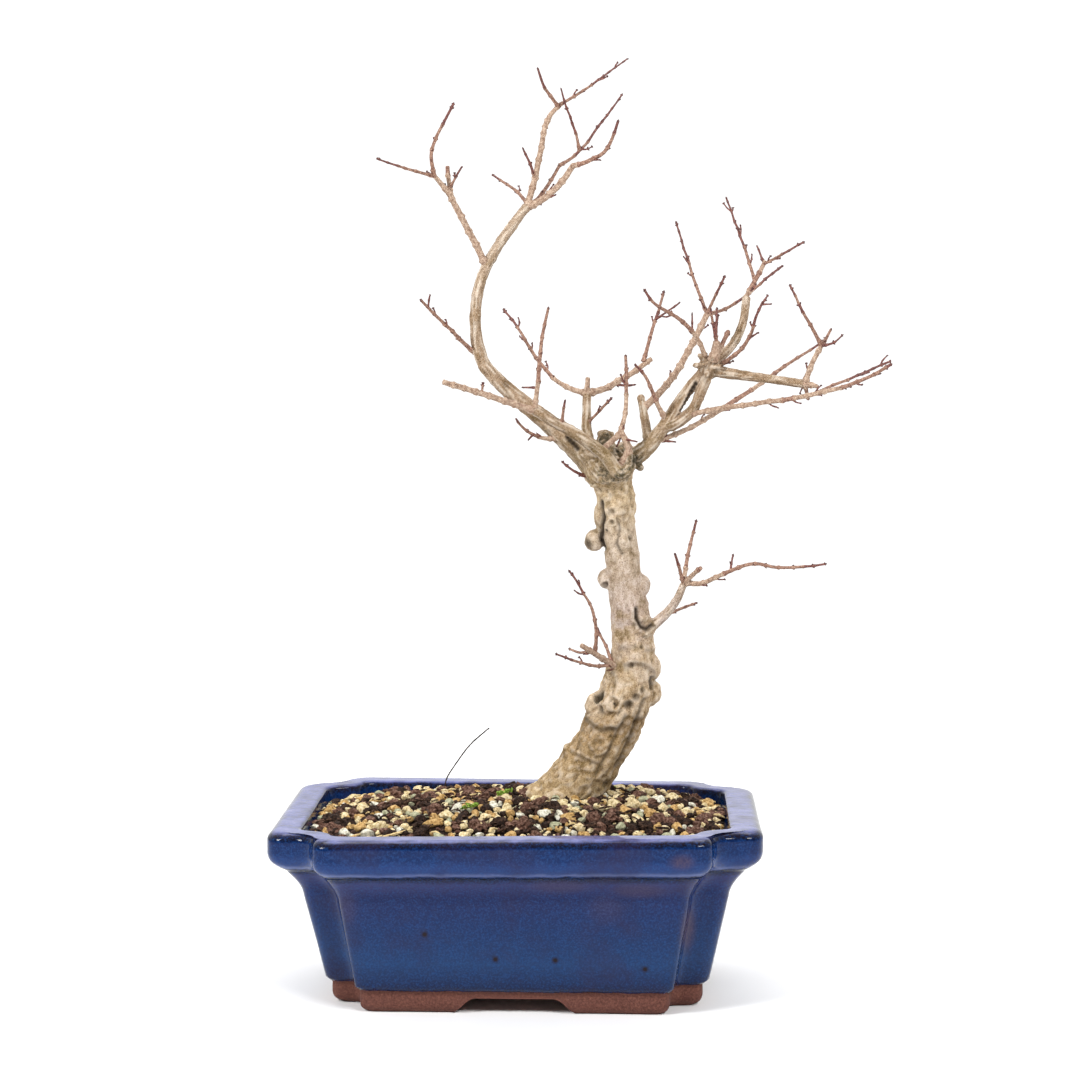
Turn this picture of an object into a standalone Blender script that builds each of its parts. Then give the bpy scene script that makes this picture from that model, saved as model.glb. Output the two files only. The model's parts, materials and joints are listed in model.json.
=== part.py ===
"""A trident maple bonsai in winter, bare of leaves, in its blue glazed ceramic pot.

Sizes are named in millimetres and become metres in the meshes. X runs to the right, Y to the
back and Z up, from the ground under the pot. The trunk, each bough and each mass of twigs is a
limb that grows from a share of its parent's length, through a few bearings in turn, and each
one is cut a hair clear of the limb that it grows from.
"""

from collections import namedtuple
import math
import random

import bmesh
import bpy
from mathutils import Matrix, Vector
from mathutils.geometry import delaunay_2d_cdt

MM = 0.001
GAP = 0.3
STEP_LENGTH = 9.0

# Pot: a pressed rectangle whose four corners are softly notched, with a rolled rim and bracket
# feet. An inset is how far a face lies inside the rim's greatest length and depth.
POT_LENGTH = 260.0
POT_DEPTH = 190.0
POT_HEIGHT = 97.5
RIM_ROLL_RISE = 4.5
RIM_ROLL_RUN = 6.0
ROLL_STEPS = 3
WALL_TOP = 63.0
WALL_TOP_INSET = 16.7
WALL_FOOT = 14.5
WALL_FOOT_INSET = 27.4
FOOT_TOP = 10.5
FOOT_INSET = 31.0
FLOOR_TOP = 15.0

# The foot's worn edge, the cove and the lip above the wall, and the whole inner face from the
# rim down to the floor: heights with their insets.
FOOT_EDGE = ((0.0, 35.0), (2.0, 32.2), (5.0, 31.0))
COVE_AND_LIP = (
    (67.0, 14.9), (71.0, 12.2), (74.5, 9.4), (76.0, 8.2), (77.2, 6.2), (80.4, 2.4), (83.0, 0.7), (86.0, 0.0),
)
INSIDE = ((POT_HEIGHT, 14.5), (95.5, 17.0), (WALL_TOP, 23.2), (21.0, 32.4), (FLOOR_TOP, 38.4))

# Notch: its length along the long side and its depth at the rim, what each loses per millimetre
# of inset, and how far its inner corner is filled in. Each of its three turns, from the short
# side to the long side, starts and ends at these distances from its corner.
Notch = namedtuple("Notch", "length depth length_loss depth_loss filled turns")
OUTER_NOTCH = Notch(27.5, 22.0, 0.31, 0.08, 1.5, ((12, 10), (12, 11), (7, 12)))
INNER_NOTCH = Notch(22.0, 19.0, 0.1, 0.1, 5.0, ((9, 7), (9, 8), (6, 11)))
POCKET_NOTCH = Notch(16.0, 17.0, 0.0, 0.0, 0.0, ((6, 6), (6, 6), (6, 6)))
ARC_STEPS = 4

# The fired pot isn't quite true: the share by which it is taller at the middle, how that share
# changes to the right and to the back, and how much the rim is twisted.
TALLER = (0.005, 0.006, -0.004, -0.012)

# Feet: one bracket at each corner, left by four sloping recesses and a pocket underneath, whose
# cutters reach a little past what they cut.
FOOT_HEIGHT = 8.5
FOOT_THICKNESS = 15.0
FRONT_RECESS_HALF = 32.0
SIDE_RECESS_HALF = 24.0
RECESS_SLOPE = 9.0
DRAIN_DIAMETER = 18.0
DRAIN_SPACING = 90.0
DRAIN_SIDES = 16
CUT_PAST = 1.5

# Soil: fills the pot, a little below the rim, and mounds up to a flat seat under the trunk.
# Its larger stones stand out of it, by a seeded rule.
SOIL_EDGE = 92.0
SOIL_SEAT = 102.5
SEAT_CENTRE = (20.0, 20.0)
SEAT_RADIUS = 31.0
SEAT_SIDES = 16
SOIL_CLEAR = 0.45
SOIL_HALF_LENGTH = 111.0
SOIL_HALF_DEPTH = 76.0
STONE_SEED = 3
STONE_SPACING = 13.0
STONE_SHIFT = 3.0
STONE_RADIUS = (2.8, 4.4)
STONE_RISE = (2.2, 3.4)
STONE_KINDS = ((1.25, 5, 0.0), (0.55, 3, 1.0))
SOIL_MARGIN = 7.0

# A limb: the share of its parent's length that it grows from, or that share with distances to
# the right, to the back and up from its parent's line, then its reach, its bearings in turn from
# root to tip in degrees right of straight up, how far the tip comes to the back, its girths in
# turn from root to tip as diameters, and the limbs that grow from it.
Limb = namedtuple("Limb", "at reach bearings back girths offshoots")
Knob = namedtuple("Knob", "at right back along radius flat")


def limb(at, reach, bearings, back, girths, *offshoots):
    return Limb(at, reach, bearings, back, girths, offshoots)


TRUNK_FOOT = (18.0, 21.0, 91.0)
TRUNK = limb(
    0, 215, (35, 35, 29, 16, -2, -9.5, -6, -8, -13), -16,
    (37, 34, 31, 30, 29, 29, 27, 22, 20.5, 18.8, 17.8, 18.0, 19.2, 21, 18),
)
TRUNK_STEP = 13.0
TRUNK_SIDES = 16

# Swellings of the trunk: old pruning scars grown over, the root flare and the head.
# Each is placed by a share of the trunk's length and by its distances from the trunk's line.
TRUNK_KNOBS = (
    Knob(0.06, -15, -3, 0, 11, 0.6),
    Knob(0.06, -3, -11, 0, 11, 0.6),
    Knob(0.05, 10, 8, 0, 12, 0.6),
    Knob(0.19, -13, -1, 0, 7.0, 1.0),
    Knob(0.34, -13, 0, 0, 7.0, 1.0),
    Knob(0.34, -7, -9, 0, 6.5, 1.0),
    Knob(0.33, 7, -7, 0, 8.0, 1.0),
    Knob(0.37, 12, 2, 0, 8.0, 1.0),
    Knob(0.41, -6, -5, 0, 7.5, 0.9),
    Knob(0.44, 9, 0, 0, 7.5, 1.1),
    Knob(0.54, 7, -3, 0, 6.0, 1.2),
    Knob(0.67, -11, 1, 0, 4.6, 1.1),
    Knob(0.65, 7, 0, 0, 6.0, 1.2),
    Knob(0.77, 1, -6, 0, 5.0, 1.2),
    Knob(0.78, -13, 1, 0, 4.0, 0.8),
    Knob(0.765, -14.5, 1, 0, 5.4, 1.1),
    Knob(0.83, -8, 1, 0, 4.6, 2.2),
    Knob(0.95, -1.2, -2, 0, 13.8, 0.9),
    Knob(0.97, -9, -1, 2, 9.0, 0.8),
    Knob(0.99, -1, 5, 5, 5.0, 1.0),
    Knob(0.98, 9, 4, 3, 5.5, 1.0),
)

# Boughs, each with the limb that it grows from.
BOUGHS = {
    "bough_left_low": ("trunk", limb(
        (0.96, -8, 0, 1), 80, (-46, -50, -52, -50, -40), 4, (17, 12, 9, 7.8, 7.2))),
    "bough_left_high": ("bough_left_low", limb(
        1, 95, (-24, -5, 9, 27, 36, 38), 7, (7, 6, 5.6, 5.4, 5.2, 4.6))),
    "bough_front": ("trunk", limb((0.96, 5, -15, -1), 55, (-42, -52, -62, -57), -14, (9, 7.4, 5.4, 4.4))),
    "bough_middle": ("trunk", limb((0.98, -10, 3, 6), 28, (-16, 0, 0), 10, (6.4, 4.6, 4.2))),
    "bough_right": ("trunk", limb((0.96, 3.5, 0, 1), 74, (81, 45, 30, 36, 48), -6, (14, 9, 7, 6, 5.4, 6))),
    "bough_right_twin": ("bough_right", limb(0.44, 38, (78, 52, 22, 22), -8, (6, 5.4, 5.2))),
    "bough_snag": ("bough_right", limb(0.28, 27, (-8, -12), 10, (5, 4.4, 3.6))),
    "bough_right_arm": ("bough_right", limb((1, 2, 0, -2), 48, (98, 97, 98), -26, (6, 5, 4.2, 4.2))),
    "bough_right_top": ("bough_right", limb((1, 3, 3, 3.5), 40, (60, 36, 14, 0), 9, (5, 4.4, 4.0, 4.4))),
    "bough_low_right": ("trunk", limb((0.52, 3.5, 0, 1), 38, (60, 44, 16), -7, (7, 4.6, 3.6))),
}

HUB_RADIUS = 6.0

# Masses of twigs, each with the limb that it grows from and one stem that the rest branch from.
MASSES = {
    "twigs_top_left": ("bough_left_high", limb(
        0.58, 43, (-26,), -12, (3.4, 2.8),
        limb(1, 13, (-40,), -4, (2.8, 2.0),
             limb(1, 40, (-18, 14, 30, 30), -10, (1.9, 1.2)),
             limb(0.95, 29, (-79, -70), -28, (1.8, 0.8))),
        limb(0.98, 16, (-8,), 6, (2.4, 2.0),
             limb(0.25, 13, (33,), -9, (1.4, 0.9))),
    )),
    "twigs_top_middle": ("bough_left_high", limb(
        1, 44, (16, 8), 8, (3.2, 2.4),
        limb(0.99, 16, (18, 50), 4, (2.6, 2.0),
             limb(0.85, 22, (-44, -30, -12), -17, (1.9, 1.1)),
             limb(0.9, 46, (58, 52, 52), 23, (1.6, 0.7))),
        limb((0.02, 1, 0, -1), 32, (68, 48, 30), -10, (3.4, 2.8),
             limb(1, 36, (80, 68, 28, 14), -20, (2.4, 1.3))),
        limb((0.02, 2, 0, -1), 27, (40, 26), 14, (2.0, 1.6),
             limb(1, 53, (66, 34, 36, 34), 24, (1.7, 0.9),
                  limb(0.25, 34, (-6, -22, -14), -16, (1.5, 0.8)))),
        limb(0.02, 27, (-36, -54, -55), 26, (2.0, 1.0)),
        limb(0.36, 16, (-14, -30), -12, (1.6, 0.9)),
    )),
    "twigs_left": ("bough_left_high", limb(
        (0.08, -3, 0, 0), 39, (-45, -42), -24, (2.2, 1.3),
        limb(0.86, 7, (10,), -2, (1.0, 0.8)),
    )),
    "twigs_front_left": ("bough_front", limb(
        1, 49, (-71, -71, -73), -24, (3.2, 2.6),
        limb((0.03, 2, 0, 1), 53, (6, 6, 14), -12, (2.4, 1.3),
             limb(0.2, 8, (-90,), 5, (1.2, 0.8))),
        limb(0.58, 6, (8,), -3, (1.2, 0.9)),
    )),
    "twig_front_spur": ("bough_front", limb(0.7, 14, (10,), -12, (1.8, 1.0))),
    "twigs_centre": ("bough_front", limb(
        0.0, 22, (58, 0, -44), 2, (4.2, 3.4, 3.0),
        limb(0.99, 41, (14, 2, -5), 8, (2.4, 1.4)),
        limb(0.98, 12, (-132,), -4, (2.6, 2.8)),
        limb(0.8, 7, (98,), -6, (1.2, 0.8)),
    )),
    "twigs_middle": ("bough_middle", limb(
        1, 9, (3,), 1, (2.8, 2.2),
        limb(0.05, 68, (-82, -46, -30, -42), 30, (3.0, 1.9, 1.6, 1.0)),
        limb(0.05, 40, (80, 57, 55), 18, (3.4, 2.9, 2.4),
             limb(0.38, 12, (106, 80), 6, (1.4, 0.9)),
             limb((0.86, 0, 0, 2), 40, (17, 16), 18, (2.0, 1.2),
                  limb(0.6, 16, (55,), -12, (1.2, 0.8)))),
    )),
    "twig_middle_spur": ("bough_middle", limb(0.42, 20, (42, 44), -10, (1.5, 1.1))),
    "twigs_left_low": ("bough_left_low", limb(
        (0.33, -1, -2, -4), 25, (-96, -61, -29), -18, (2.6, 1.6, 1.0),
        limb(0.5, 4, (-138,), -4, (1.2, 0.9)),
    )),
    "twig_left_root": ("trunk", limb((0.93, -12, -6, 0), 17, (-70, -46), -8, (1.8, 0.9))),
    "twigs_snag": ("bough_snag", limb(
        0.75, 63, (52, 31, 25), 25, (3.4, 3.2, 3.0),
        limb(0.99, 54, (-21, -16), 26, (1.8, 0.9)),
        limb(0.98, 23, (24,), -12, (1.6, 1.2)),
        limb(0.98, 51, (78, 49, 53), 22, (1.7, 1.1)),
    )),
    "twigs_hub_left": ("bough_right", limb(
        (1, -2, -2, 5), 50, (-14, -40, -66, -28), -38, (2.4, 1.9, 1.2),
        limb(0.33, 9, (0,), 4, (1.0, 0.8)),
    )),
    "twigs_hub_top": ("bough_right", limb(
        (1, 2, -5, 4), 10, (10,), -4, (4.6, 3.6),
        limb(0.96, 18, (-11,), -11, (1.7, 1.1)),
        limb(0.96, 18, (1,), 10, (1.5, 1.0)),
        limb((0.5, 2, 0, 0), 12, (26,), 2, (2.2, 2.0)),
    )),
    "twigs_hub_right": ("bough_right", limb(
        (1, 6, -2, 1), 41, (56, 44, 12, 26), -28, (2.2, 1.7, 1.1),
        limb(0.5, 6, (57,), -6, (1.0, 0.8)),
        limb(0.97, 6, (34,), 3, (1.1, 0.8)),
        limb(0.97, 5, (88,), -3, (1.0, 0.7)),
    )),
    "twigs_right_front": ("bough_right", limb((0.52, -2, -1, 0), 34, (-31, -17, -48), -22, (2.6, 1.8, 1.1))),
    "twigs_right_top": ("bough_right_top", limb(
        1, 22, (28,), 6, (2.4, 2.0),
        limb(0.9, 24, (61,), -14, (1.4, 1.0)),
        limb(0.94, 10, (-20,), 9, (1.3, 0.9)),
        limb(0.45, 48, (-16, -20), 27, (1.7, 0.9)),
    )),
    "twigs_far_right": ("bough_right_arm", limb(
        1, 22, (14, 30), -8, (2.8, 2.2),
        limb(0.99, 36, (-30, -28), -16, (1.9, 0.9)),
        limb(0.99, 10, (32,), 6, (1.6, 1.2)),
        limb(0.99, 12, (86, 36), -10, (1.4, 0.7)),
        limb(0.02, 7, (104,), -3, (3.0, 1.8)),
        limb(0.02, 9, (165,), 7, (2.2, 1.4)),
    )),
    "twigs_right_long": ("bough_right_twin", limb(
        0.4, 109, (77, 82, 76, 56), -52, (2.6, 2.4, 2.2, 1.4),
        limb(0.6, 47, (69, 68), 22, (1.5, 1.1)),
    )),
    "twigs_right_back": ("bough_right", limb(
        (0.37, 0, 0, -3), 104, (71, 59, 56, 58), 46, (2.6, 2.4, 2.0, 1.1),
        limb((0.03, 0, 0, -1), 7, (90,), -5, (1.1, 0.8)),
    )),
    "twigs_low_right": ("bough_low_right", limb(
        1, 34, (6, 18), 20, (2.4, 1.1),
        limb(0.02, 18, (-16,), -16, (2.0, 1.2)),
        limb(0.02, 13, (44,), -11, (2.6, 2.0)),
        limb(0.03, 77, (105, 58, 64, 100, 80, 80), -42, (2.8, 2.2, 1.7, 1.5, 1.0),
             limb(0.35, 8, (10,), 6, (1.2, 0.9))),
    )),
    "twig_low_right_spur": ("bough_low_right", limb(0.42, 20, (73,), 18, (1.9, 1.0))),
    "twigs_low_left": ("trunk", limb(
        0.425, 32, (-70, -50, -54), -26, (3.8, 3.0, 2.4),
        limb(0.72, 50, (8, -6, -30, -33), -16, (1.9, 1.0)),
        limb(0.36, 20, (-20, -29), 14, (1.8, 1.2)),
        limb(0.34, 32, (-92, -68, -60), -30, (1.9, 0.9)),
        limb(0.82, 12, (-120, -60), 8, (1.6, 1.0)),
    )),
}

# Spurs: at its nodes a thick enough twig may carry a short side spur, by a seeded rule.
SPUR_SEED = 7
SPUR_SPACING = 13.0
SPUR_CHANCE = 0.4
SPUR_REACH = (2.0, 3.6)
SPUR_GIRTHS = (1.0, 0.8)
SPUR_ANGLE = 46
THINNEST_WITH_SPURS = 1.5


def start_afresh():
    for obj in list(bpy.data.objects):
        bpy.data.objects.remove(obj, do_unlink=True)


def material(name, colour, roughness, coat=0.0):
    made = bpy.data.materials.new(name)
    made.use_nodes = True
    shader = made.node_tree.nodes["Principled BSDF"]
    shader.inputs["Base Color"].default_value = (*colour, 1.0)
    shader.inputs["Roughness"].default_value = roughness
    shader.inputs["Coat Weight"].default_value = coat
    made.diffuse_color = (*colour, 1.0)
    return made


def object_from(name, verts, faces):
    """One mesh object, from corners in millimetres."""
    mesh = bpy.data.meshes.new(name)
    mesh.from_pydata([tuple(c * MM for c in v) for v in verts], [], faces)
    mesh.update()
    obj = bpy.data.objects.new(name, mesh)
    bpy.context.scene.collection.objects.link(obj)
    return obj


def loft(name, loops):
    """A closed body through loops of equal count, with its first and last loop as flat ends."""
    count = len(loops[0])
    verts = [point for loop in loops for point in loop]
    faces = [tuple(reversed(range(count)))]
    for level in range(len(loops) - 1):
        low = level * count
        for i in range(count):
            j = (i + 1) % count
            faces.append((low + i, low + j, low + count + j, low + count + i))
    top = (len(loops) - 1) * count
    faces.append(tuple(range(top, top + count)))
    return object_from(name, verts, faces)


def evaluated_mesh(obj):
    bpy.context.view_layer.update()
    graph = bpy.context.evaluated_depsgraph_get()
    return bpy.data.meshes.new_from_object(obj.evaluated_get(graph))


def apply_boolean(obj, operation, operands):
    """Joins or cuts obj with the operands in one Boolean, applies it and removes them."""
    holder = bpy.data.collections.new("operands")
    bpy.context.scene.collection.children.link(holder)
    for operand in operands:
        bpy.context.scene.collection.objects.unlink(operand)
        holder.objects.link(operand)
    boolean = obj.modifiers.new(operation.lower(), "BOOLEAN")
    boolean.operation = operation
    boolean.operand_type = "COLLECTION"
    boolean.collection = holder
    boolean.solver = "EXACT"
    joined = evaluated_mesh(obj)
    obj.modifiers.clear()
    obj.data = joined
    for operand in operands:
        bpy.data.objects.remove(operand, do_unlink=True)
    bpy.data.collections.remove(holder)


def tidy_solid(obj):
    """Keeps the largest closed piece of a mesh as triangles, and drops loose scraps."""
    bm = bmesh.new()
    bm.from_mesh(obj.data)
    bmesh.ops.triangulate(bm, faces=bm.faces)
    bmesh.ops.remove_doubles(bm, verts=bm.verts, dist=0.002 * MM)
    bmesh.ops.dissolve_degenerate(bm, edges=bm.edges, dist=0.002 * MM)
    bmesh.ops.triangulate(bm, faces=bm.faces)
    islands = []
    unseen = set(bm.verts)
    while unseen:
        island = {unseen.pop()}
        edge_of_island = list(island)
        while edge_of_island:
            vert = edge_of_island.pop()
            near = {e.other_vert(vert) for e in vert.link_edges} & unseen
            unseen -= near
            island |= near
            edge_of_island.extend(near)
        islands.append(island)
    largest = max(islands, key=len)
    scraps = [v for v in bm.verts if v not in largest]
    bmesh.ops.delete(bm, geom=scraps, context="VERTS")
    bmesh.ops.recalc_face_normals(bm, faces=bm.faces)
    bm.to_mesh(obj.data)
    bm.free()


def shade(obj, finish, crease_degrees=40):
    obj.data.materials.clear()
    obj.data.materials.append(finish)
    obj.data.shade_smooth()
    obj.data.set_sharp_from_angle(angle=math.radians(crease_degrees))


def bearing_at(bearings, share):
    """The bearing at a share of a limb's length, turning evenly from each one to the next."""
    if len(bearings) == 1:
        return bearings[0]
    place = share * (len(bearings) - 1)
    first = min(int(place), len(bearings) - 2)
    return bearings[first] + (bearings[first + 1] - bearings[first]) * (place - first)


def limb_path(root, made, step=STEP_LENGTH):
    """The points along a limb's middle, and the girth at each."""
    steps = max(2, round(made.reach / step), len(made.girths) - 1)
    points = [Vector(root)]
    for i in range(steps):
        bearing = math.radians(bearing_at(made.bearings, (i + 0.5) / steps))
        ahead = Vector((math.sin(bearing) * made.reach, made.back, math.cos(bearing) * made.reach))
        points.append(points[-1] + ahead / steps)
    girths = [bearing_at(made.girths, i / steps) for i in range(steps + 1)]
    return points, girths


def point_along(points, share):
    place = min(max(share, 0.0), 1.0) * (len(points) - 1)
    first = min(int(place), len(points) - 2)
    return points[first].lerp(points[first + 1], place - first)


def foot_on(points, at):
    """Where a limb grows from, on or beside the line of its parent."""
    if isinstance(at, tuple):
        return point_along(points, at[0]) + Vector(at[1:])
    return point_along(points, at)


def direction_along(points, share):
    place = min(int(share * (len(points) - 1)), len(points) - 2)
    return (points[place + 1] - points[place]).normalized()


def tube(name, points, girths, sides):
    """A closed tapering tube along points, whose rings turn with it without twisting."""
    ahead = (points[1] - points[0]).normalized()
    across = ahead.cross(Vector((0.0, 1.0, 0.0))).normalized()
    loops = []
    for i, point in enumerate(points):
        before = points[max(i - 1, 0)]
        after = points[min(i + 1, len(points) - 1)]
        turned = (after - before).normalized()
        across = (across - turned * across.dot(turned)).normalized()
        aside = turned.cross(across)
        ring = []
        for k in range(sides):
            angle = math.tau * k / sides
            out = across * math.cos(angle) + aside * math.sin(angle)
            ring.append(point + out * (girths[i] / 2))
        loops.append(ring)
    return loft(name, loops)


def sides_for(girth):
    return 10 if girth > 9 else 8 if girth > 5 else 6 if girth > 3.6 else 4 if girth > 2.2 else 3


def ball(name, centre, radius, flat, rings=6, sides=10):
    """A closed rounded swelling, lower than it is wide where flat is under 1."""
    bm = bmesh.new()
    bmesh.ops.create_uvsphere(bm, u_segments=sides, v_segments=rings, radius=radius * MM)
    place = Matrix.Translation(Vector(centre) * MM) @ Matrix.Diagonal((1, 1, flat, 1))
    bmesh.ops.transform(bm, matrix=place, verts=bm.verts)
    mesh = bpy.data.meshes.new(name)
    bm.to_mesh(mesh)
    bm.free()
    obj = bpy.data.objects.new(name, mesh)
    bpy.context.scene.collection.objects.link(obj)
    return obj


def turn_corner(before, corner, after, start, end):
    """Points round one corner, from a distance before it to a distance after it."""
    first = corner + (before - corner).normalized() * start
    last = corner + (after - corner).normalized() * end
    made = []
    for i in range(ARC_STEPS + 1):
        share = i / ARC_STEPS
        made.append(first.lerp(corner, share).lerp(corner.lerp(last, share), share))
    return made


def notched_outline(half_length, half_depth, notch, inset):
    """The pot's outline: a rectangle with a soft notch at each corner."""
    length = notch.length - notch.length_loss * inset
    depth = notch.depth - notch.depth_loss * inset
    scale = length / notch.length
    filled = notch.filled * scale
    corners = [Vector(corner) for corner in (
        (half_length, 0.0),
        (half_length, half_depth - depth),
        (half_length - length + filled, half_depth - depth + filled),
        (half_length - length, half_depth),
        (0.0, half_depth),
    )]
    quarter = []
    for i, (start, end) in enumerate(notch.turns):
        quarter += turn_corner(corners[i], corners[i + 1], corners[i + 2], start * scale, end * scale)
    outline = [(x, y) for x, y in quarter]
    outline += [(-x, y) for x, y in reversed(quarter)]
    outline += [(-x, -y) for x, y in quarter]
    outline += [(x, -y) for x, y in reversed(quarter)]
    return outline


def raised(x, y, height):
    """A point of the pot, lifted by its height's share where the fired pot is taller."""
    across, deep = x / (POT_LENGTH / 2), y / (POT_DEPTH / 2)
    middle, right, back, twist = TALLER
    share = middle + right * across + back * deep + twist * across * deep
    return Vector((x, y, height * (1 + share)))


def pot_loop(height, inset, notch):
    outline = notched_outline(POT_LENGTH / 2 - inset, POT_DEPTH / 2 - inset, notch, inset)
    return [raised(x, y, height) for x, y in outline]


def pot_outside():
    """Heights and insets of the pot's outer face, from the foot to the rim."""
    levels = [*FOOT_EDGE, (FOOT_TOP, FOOT_INSET), (WALL_FOOT, WALL_FOOT_INSET), (WALL_TOP, WALL_TOP_INSET)]
    levels += COVE_AND_LIP
    for i in range(ROLL_STEPS + 1):
        angle = math.radians(90 * i / ROLL_STEPS)
        height = POT_HEIGHT - RIM_ROLL_RISE * (1 - math.sin(angle))
        levels.append((height, RIM_ROLL_RUN * (1 - math.cos(angle))))
    return levels


def sloping_cutter(name, half_width, reach, across):
    """A recess between two feet, wider at the ground than at its top."""
    section = ((half_width + CUT_PAST, -CUT_PAST), (half_width - RECESS_SLOPE, FOOT_HEIGHT))
    ends = []
    for y in (-reach, reach):
        low, high = section
        ends.append([(-low[0], y, low[1]), (low[0], y, low[1]), (high[0], y, high[1]), (-high[0], y, high[1])])
    if across:
        ends = [[(y, x, z) for x, y, z in reversed(end)] for end in ends]
    verts = ends[0] + ends[1]
    faces = [(0, 1, 2, 3), (7, 6, 5, 4), (4, 5, 1, 0), (5, 6, 2, 1), (6, 7, 3, 2), (7, 4, 0, 3)]
    cutter = object_from(name, verts, faces)
    bm = bmesh.new()
    bm.from_mesh(cutter.data)
    bmesh.ops.recalc_face_normals(bm, faces=bm.faces)
    bm.to_mesh(cutter.data)
    bm.free()
    return cutter


def underside_cutters():
    pocket_inset = FOOT_INSET + FOOT_THICKNESS
    half_length = POT_LENGTH / 2 - pocket_inset
    half_depth = POT_DEPTH / 2 - pocket_inset
    outline = notched_outline(half_length, half_depth, POCKET_NOTCH, 0.0)
    pocket = [[Vector((x, y, z)) for x, y in outline] for z in (-CUT_PAST, FOOT_HEIGHT)]
    cutters = [
        loft("pocket", pocket),
        sloping_cutter("front_recess", FRONT_RECESS_HALF, POT_DEPTH / 2, False),
        sloping_cutter("side_recess", SIDE_RECESS_HALF, POT_LENGTH / 2, True),
    ]
    for side in (-1, 1):
        centre = Vector((side * DRAIN_SPACING / 2, 0.0, 0.0))
        ends = [centre + Vector((0, 0, z)) for z in (FOOT_HEIGHT - CUT_PAST, FLOOR_TOP + CUT_PAST)]
        cutters.append(tube("drain", ends, [DRAIN_DIAMETER] * 2, DRAIN_SIDES))
    return cutters


def make_pot(finish):
    loops = [pot_loop(height, inset, OUTER_NOTCH) for height, inset in pot_outside()]
    loops += [pot_loop(height, inset, INNER_NOTCH) for height, inset in INSIDE]
    pot = loft("pot", loops)
    apply_boolean(pot, "DIFFERENCE", underside_cutters())
    tidy_solid(pot)
    shade(pot, finish)
    return pot


def soil_height(x, y):
    """The height of the soil, mounding up from its edge to the seat under the trunk."""
    away = Vector((x - SEAT_CENTRE[0], y - SEAT_CENTRE[1]))
    if away.length <= SEAT_RADIUS:
        return SOIL_SEAT
    reach = math.inf
    for part, half, middle in zip(away.normalized(), (SOIL_HALF_LENGTH, SOIL_HALF_DEPTH), SEAT_CENTRE):
        if part:
            reach = min(reach, (math.copysign(half, part) - middle) / part)
    share = min(1.0, max(0.0, (reach - away.length) / (reach - SEAT_RADIUS)))
    return SOIL_EDGE + (SOIL_SEAT - SOIL_EDGE) * math.sin(share * math.pi / 2)


def within(x, y, edge, margin):
    """Whether a place lies inside a loop and at least a margin away from it."""
    inside = False
    place = Vector((x, y))
    for i, end in enumerate(edge):
        a, b = edge[i - 1].xy, end.xy
        if (a.y > y) != (b.y > y) and x < a.x + (b.x - a.x) * (y - a.y) / (b.y - a.y):
            inside = not inside
        share = min(1.0, max(0.0, (place - a).dot(b - a) / max((b - a).length_squared, 1e-9)))
        if (place - a.lerp(b, share)).length < margin:
            return False
    return inside


def larger_stones():
    """Place, radius and rise of the larger stones that stand out of the soil."""
    rng = random.Random(STONE_SEED)
    stones = []
    rows = int(2 * SOIL_HALF_DEPTH / STONE_SPACING) + 1
    columns = int(2 * SOIL_HALF_LENGTH / STONE_SPACING) + 1
    for row in range(rows):
        for column in range(columns):
            x = -SOIL_HALF_LENGTH + (column + row % 2 / 2) * STONE_SPACING + rng.uniform(-1, 1) * STONE_SHIFT
            y = -SOIL_HALF_DEPTH + row * STONE_SPACING + rng.uniform(-1, 1) * STONE_SHIFT
            stones.append((x, y, rng.uniform(*STONE_RADIUS), rng.uniform(*STONE_RISE), rng.uniform(0, math.tau)))
    return stones


def soil_loops():
    """Loops up the soil's side, a little clear of the pot's inner face and its floor."""
    _, low_rim, wall, foot, floor = INSIDE
    share = (low_rim[0] - SOIL_EDGE) / (low_rim[0] - wall[0])
    levels = [(floor[0] + GAP, floor[1]), (foot[0] + GAP, foot[1]), wall]
    levels.append((SOIL_EDGE, low_rim[1] + (wall[1] - low_rim[1]) * share))
    return [pot_loop(height, inset + SOIL_CLEAR, INNER_NOTCH) for height, inset in levels]


def soil_top(edge):
    """The corners of the soil's top: its edge, its larger stones and the seat's ring."""
    top = list(edge)
    for x, y, radius, rise, turn in larger_stones():
        from_seat = math.dist((x, y), SEAT_CENTRE)
        if from_seat < SEAT_RADIUS + 2 * radius or not within(x, y, edge, SOIL_MARGIN):
            continue
        for spread, corners, lifted in STONE_KINDS:
            for k in range(corners):
                angle = turn + math.tau * k / corners
                u, v = x + radius * spread * math.cos(angle), y + radius * spread * math.sin(angle)
                top.append(Vector((u, v, soil_height(u, v) + rise * lifted)))
    for k in range(SEAT_SIDES):
        angle = math.tau * k / SEAT_SIDES
        u, v = SEAT_CENTRE[0] + SEAT_RADIUS * math.cos(angle), SEAT_CENTRE[1] + SEAT_RADIUS * math.sin(angle)
        top.append(Vector((u, v, SOIL_SEAT)))
    return top


def make_soil(finish):
    *body, edge = soil_loops()
    top = soil_top(edge)
    count = len(edge)
    flat = [point.xy for point in top]
    _, _, triangles, origins, _, _ = delaunay_2d_cdt(flat, [], [list(range(count))], 1, 1e-6)
    verts = [point for loop in body for point in loop] + top
    first = len(body) * count
    faces = [tuple(reversed(range(count)))]
    for level in range(len(body)):
        low = level * count
        for i in range(count):
            j = (i + 1) % count
            faces.append((low + i, low + j, low + count + j, low + count + i))
    faces += [tuple(first + origins[i][0] for i in triangle) for triangle in triangles]
    soil = object_from("soil", verts, faces)
    tidy_solid(soil)
    shade(soil, finish, 30)
    return soil


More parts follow.
